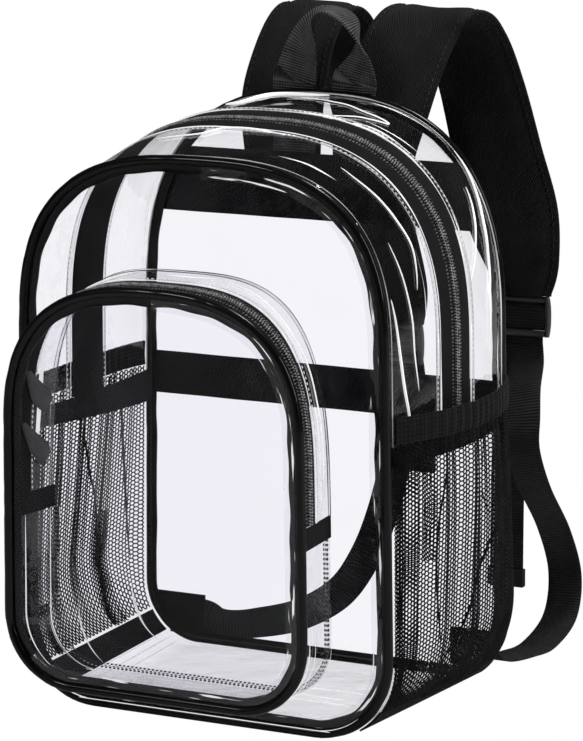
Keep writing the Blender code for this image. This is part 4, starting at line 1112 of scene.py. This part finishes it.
def build_strap(word, end, strap_table, webbing_table, tail_table):
    half = BACK.width / 2
    shape = Shape()
    path = route(strap_table, (half, STRAP_HANG, BACK_HEIGHT - end), (STRAP_Y, end), STRAP_WIDTH, 10)
    path[-1, 2] -= 0.0008
    centre, across, out = band(shape, path, padded)
    for side in (-1, 1):
        for face in (-1, 1):
            line = centre + across * (side * (path[:, 3:4] / 2 - STRAP_BINDING * 0.55))
            line = line + out * face * (STRAP_EDGE / 2 + 0.0002)
            stitch_row(shape, line, out * face, 0.0026, 0.0012, 0.00030, 1)
    strap = shape.build(word + "_padded_strap", [TWILL, THREAD], [word + "_strap"], "black_twill")
    top = end - BUCKLE_DROP
    shape = Shape()
    path = route(webbing_table, (half, STRAP_HANG, top), (STRAP_Y, 0.0), WEBBING_WIDTH, 10)
    path[0, 2] += 0.0011
    band(shape, path, flat(WEBBING_THICKNESS))
    hang(shape, path, word + "_lower_webbing", RIBBED, word + "_webbing")
    shape = Shape()
    path = route(tail_table, (half, STRAP_HANG, top + TAIL_OVERLAP), (STRAP_Y + TAIL_OFFSET, 0.0),
                 WEBBING_WIDTH, 10)
    band(shape, path, flat(WEBBING_THICKNESS))
    x, y, z = path[-1, :3]
    shape.box((x, y, z + 0.0052), (WEBBING_WIDTH + 0.0008, 3 * WEBBING_THICKNESS, 0.0098))
    hang(shape, path, word + "_tail_webbing", RIBBED, word + "_webbing_tail")
    place = (strap_table[-1][0] * half, STRAP_Y + STRAP_HANG, end - 3 * GAP - BUCKLE_HEIGHT / 2)
    buckle(word + "_ladder_buckle", place, strap_table[-1][3], word + "_buckle")


def build_handle():
    shape = Shape()
    path = route(HANDLE_TABLE, (HANDLE_LEG, HANDLE_WIDTH, BACK_HEIGHT), (HANDLE_Y, 0.0), HANDLE_WIDTH, 14)
    band(shape, path, flat(HANDLE_THICKNESS))
    hang(shape, path, "handle_webbing", HANDLE_CLOTH_PAINTED_RIB_HIGHLIGHTS, "handle")


def build_back_bands():
    """The flat cloth bands on the back panel."""
    margin = CORD + 2 * GAP
    for node, bottom, top in (("yoke", YOKE_BOTTOM, YOKE_TOP),
                              ("back_band", BACK_BAND_BOTTOM, BACK_BAND_TOP)):
        edge = [(BACK.half_width(z) - margin * math.hypot(1, BACK.slope(z)), z)
                for z in np.linspace(bottom, top, 9)]
        rows = [[(a * x, YOKE_Y + 0.00025 * math.sin(a * x * 150 + z * 90), z)
                 for a in np.linspace(1, -1, 60)] for x, z in even(np.array(edge), 12)]
        piece = surface(rows, node + "_cloth", TWILL, node, "black_twill")
        cloth(solidify(piece, BAND_THICKNESS), rows)


def build_pull(name, outline_at, y, z, shift, inside, material, node, piece_slot):
    """A ribbon pull folded to a leaf: narrow at the slider, full below, cupped and stitched at the edge."""
    lean = math.atan(outline_at(y).slope(z, -1, SLIDER_LENGTH / 2))
    out = SHEET / 2 + COIL_RISE + 3 * GAP + SLIDER_THICKNESS + PULL_THICKNESS / 2
    if inside:
        out = -SHEET / 2 - 2 * GAP - PULL_THICKNESS / 2
    rows, edges = [], []
    for down in np.linspace(0.0, 1.0, 28):
        height = z - PULL_LENGTH * down
        middle = y + PULL_SWING * np.interp(down, (0, 0.3, 0.62, 0.85, 1), (0, 0.35, 0.75, 0.95, 1))
        behind, wall, ahead = [outline_at(middle + step).half_width(height, -1)
                               for step in (-0.004, 0, 0.004)]
        x = shift - wall - out / math.cos(lean)
        full = np.interp(down, (0, 0.10, 0.32, 0.62, 0.85, 1.0), (0.16, 0.30, 0.60, 0.96, 0.66, 0.06))
        half = PULL_WIDTH / 2 * full
        line = []
        for share in np.linspace(-1, 1, 13):
            cup = 0.00035 * math.cos(math.pi * share) + 0.00015 * math.sin(9 * down + 2 * share)
            line.append((x + cup - (ahead - behind) / 0.008 * half * share, middle + half * share,
                         height + 0.0012 * share * down))
        rows.append(line)
        if 0.08 < down < 0.95:
            edges.append(np.array([line[1], line[-2]]) + (0.0005 if inside else -0.0005, 0, 0))
    piece = solidify(surface(rows, name, material, node, piece_slot), PULL_THICKNESS * 0.55)
    shape = Shape()
    for edge in np.stack(edges, 1):
        stitch_row(shape, edge, np.tile((-1.0, 0, 0), (len(edge), 1)), 0.0012, 0.0007, 0.00016, 0)
    seam = shape.build(name + "_stitches", [THREAD], (), piece_slot)
    rows = np.array(rows)
    length = float(lengths_along(rows[:, 6])[-1])


def build_slider(name, outline, y, z, shift, node):
    """A zip slider: a rounded body and the bridge over it that holds the pull."""
    lean = math.atan(outline.slope(z, -1, SLIDER_LENGTH / 2))
    c, s = math.cos(lean), math.sin(lean)
    middle = SHEET / 2 + COIL_RISE + 2 * GAP + SLIDER_THICKNESS / 2
    place = np.array([shift - outline.half_width(z, -1) - middle * c, y, z - middle * s])
    axes = np.array([(c, 0, s), (0, 1, 0), (-s, 0, c)])
    body, bridge = [], []
    for share in np.linspace(-1, 1, 15):
        wide = SLIDER_WIDTH / 2 * (0.62 + 0.36 * math.cos(math.pi / 2 * (share - 0.35) / 1.35))
        body.append([(0.0006 + 0.0008 * math.sin(a), wide * math.cos(a), share * SLIDER_LENGTH / 2 * 0.97)
                     for a in circle(16)])
    for a in np.linspace(0.05 * math.pi, 0.95 * math.pi, 13):
        bridge.append([(0.0002 - 0.0010 * math.sin(a) + 0.0006 * math.sin(b), 0.0012 * math.cos(b),
                        0.0042 * math.cos(a)) for b in circle(10)])
    shape = Shape()
    shape.tube(np.array(body) @ axes + place)
    shape.tube(np.array(bridge) @ axes + place)
    shape.build(name, [METAL], [node], "grey_plastic")


def dress(node, material):
    """Keeps a CAD node with a better material."""
    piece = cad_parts[node]
    piece.data.materials.clear()
    piece.data.materials.append(material)


# Camera and stage

def add_item(name, data):
    item = bpy.data.objects.new(name, data)
    bpy.context.scene.collection.objects.link(item)
    return item


def camera():
    """The photograph's camera, fitted to the panel outlines."""
    yaw, pitch, roll = 0.48056, 0.19103, -0.0052
    distance, focal_pixels, photo_height = 1.9517, 3750.0, 741
    back = Vector((math.sin(yaw) * math.cos(pitch), -math.cos(yaw) * math.cos(pitch), math.sin(pitch)))
    right = Vector((math.cos(yaw), math.sin(yaw), 0))
    up = back.cross(right)
    target = Vector((0.0011, 0.0964, 0.1644)) + Vector(SHIFT)
    side = right * math.cos(roll) + up * math.sin(roll)
    top = up * math.cos(roll) - right * math.sin(roll)
    data = bpy.data.cameras.new("camera")
    data.sensor_width = 36
    data.lens = focal_pixels / photo_height * data.sensor_width
    data.clip_end = 50
    item = add_item("camera", data)
    turned = Matrix((side, top, back)).transposed().to_4x4()
    item.matrix_world = Matrix.Translation(target + back * distance) @ turned
    bpy.context.scene.camera = item


def light(name, place, aim, size, size_y, power):
    data = bpy.data.lights.new(name, "AREA")
    data.shape = "RECTANGLE"
    data.size, data.size_y = size, size_y
    data.energy = power
    item = add_item(name, data)
    item.location = place
    item.rotation_euler = (Vector(aim) - Vector(place)).to_track_quat("-Z", "Y").to_euler()


def build_stage():
    """White for the camera and dim for the bag, so that the black trim stays black."""
    scene = bpy.context.scene
    scene.view_settings.view_transform = "Standard"
    scene.cycles.transparent_max_bounces = 48
    n = Nodes("studio", "worlds", "ShaderNodeOutputWorld")
    scene.world = n.show_camera(n.white("ShaderNodeBackground", Strength=1.0),
                                n.white("ShaderNodeBackground", Strength=0.05))
    n = Nodes("pale_floor")
    white = n.show_camera(n.white("ShaderNodeEmission"), n.add("ShaderNodeBsdfDiffuse").outputs[0])
    mesh = bpy.data.meshes.new("floor")
    mesh.from_pydata([(-9, -9, 0), (9, -9, 0), (9, 9, 0), (-9, 9, 0)], [], [(0, 1, 2, 3)])
    mesh.materials.append(white)
    add_item("floor", mesh)
    light("key", (-0.9, -1.6, 1.6), (0, 0, 0.15), 0.5, 0.5, 12)
    light("top", (0.25, 0.35, 1.5), (0, 0, 0.25), 0.4, 0.4, 12)
    light("side", (1.6, 0.0, 0.9), (0, 0, 0.18), 0.25, 1.1, 12)


def main():
    disc("front_sheet", FRONT, 0.0, 0.0, 0.0012, 1.3, "front_panel")
    disc("back_sheet", BACK, DEPTH, 0.0, 0.0010, 2.1, "back_panel")
    disc("pocket_sheet", POCKET, -POCKET_DEPTH, POCKET_SHIFT, 0.0010, 4.2, "pocket_panel")
    build_main_gussets()
    build_walls()
    build_pocket_sheets()
    piping("front_binding", FRONT, 0.0, 1, 0.0, 0.3, "front_piping")
    piping("back_binding", BACK, DEPTH, -1, 0.0, 1.7, "back_piping", 0.65)
    piping("pocket_binding", POCKET, -POCKET_DEPTH, 1, POCKET_SHIFT, 2.9, "pocket_piping")
    zip_run("main_zip", shell_outline, SIDE_TAPE_TOP + GAP, MAIN_ZIP_START, MAIN_ZIP_END, 0.0, "main_zipper")
    zip_run("pocket_zip", pocket_outline, POCKET_ZIP_END + GAP, POCKET_ZIP_START, POCKET_ZIP_TOP,
            POCKET_SHIFT, "pocket_zipper")
    for side, word in SIDES:
        build_side_pocket(side, word)
    build_back_bands()
    build_handle()
    build_strap("right", RIGHT_STRAP_END, RIGHT_STRAP_TABLE, RIGHT_WEBBING_TABLE, RIGHT_TAIL_TABLE)
    build_strap("left", LEFT_STRAP_END, LEFT_STRAP_TABLE, LEFT_WEBBING_TABLE, LEFT_TAIL_TABLE)
    for node in ("left_anchor", "right_anchor", "pocket_tab_left", "pocket_tab_right"):
        dress(node, BINDING)
    y = POCKET_ZIP_START + POCKET_ZIP_WIDTH / 2
    upper = POCKET_SLIDER_HEIGHT + PULL_LENGTH + POCKET_SLIDER_CLEARANCE
    for word, outline_at, y, z, shift, ribbon, piece_slot in (
            ("main_zip", shell_outline, ZIP_DEPTH, MAIN_SLIDER_HEIGHT, 0.0, TWILL, "black_twill"),
            ("pocket_upper", pocket_outline, y, upper, POCKET_SHIFT, RIBBON, "grey_ribbon"),
            ("pocket_lower", pocket_outline, y, POCKET_SLIDER_HEIGHT, POCKET_SHIFT, RIBBON, "grey_ribbon")):
        build_slider(word + "_slider_body", outline_at(y), y, z, shift, word + "_slider")
        build_pull(word + "_ribbon", outline_at, y, z, shift, word != "main_zip", ribbon, word + "_pull",
                   piece_slot)
    build_stage()
    camera()


main()
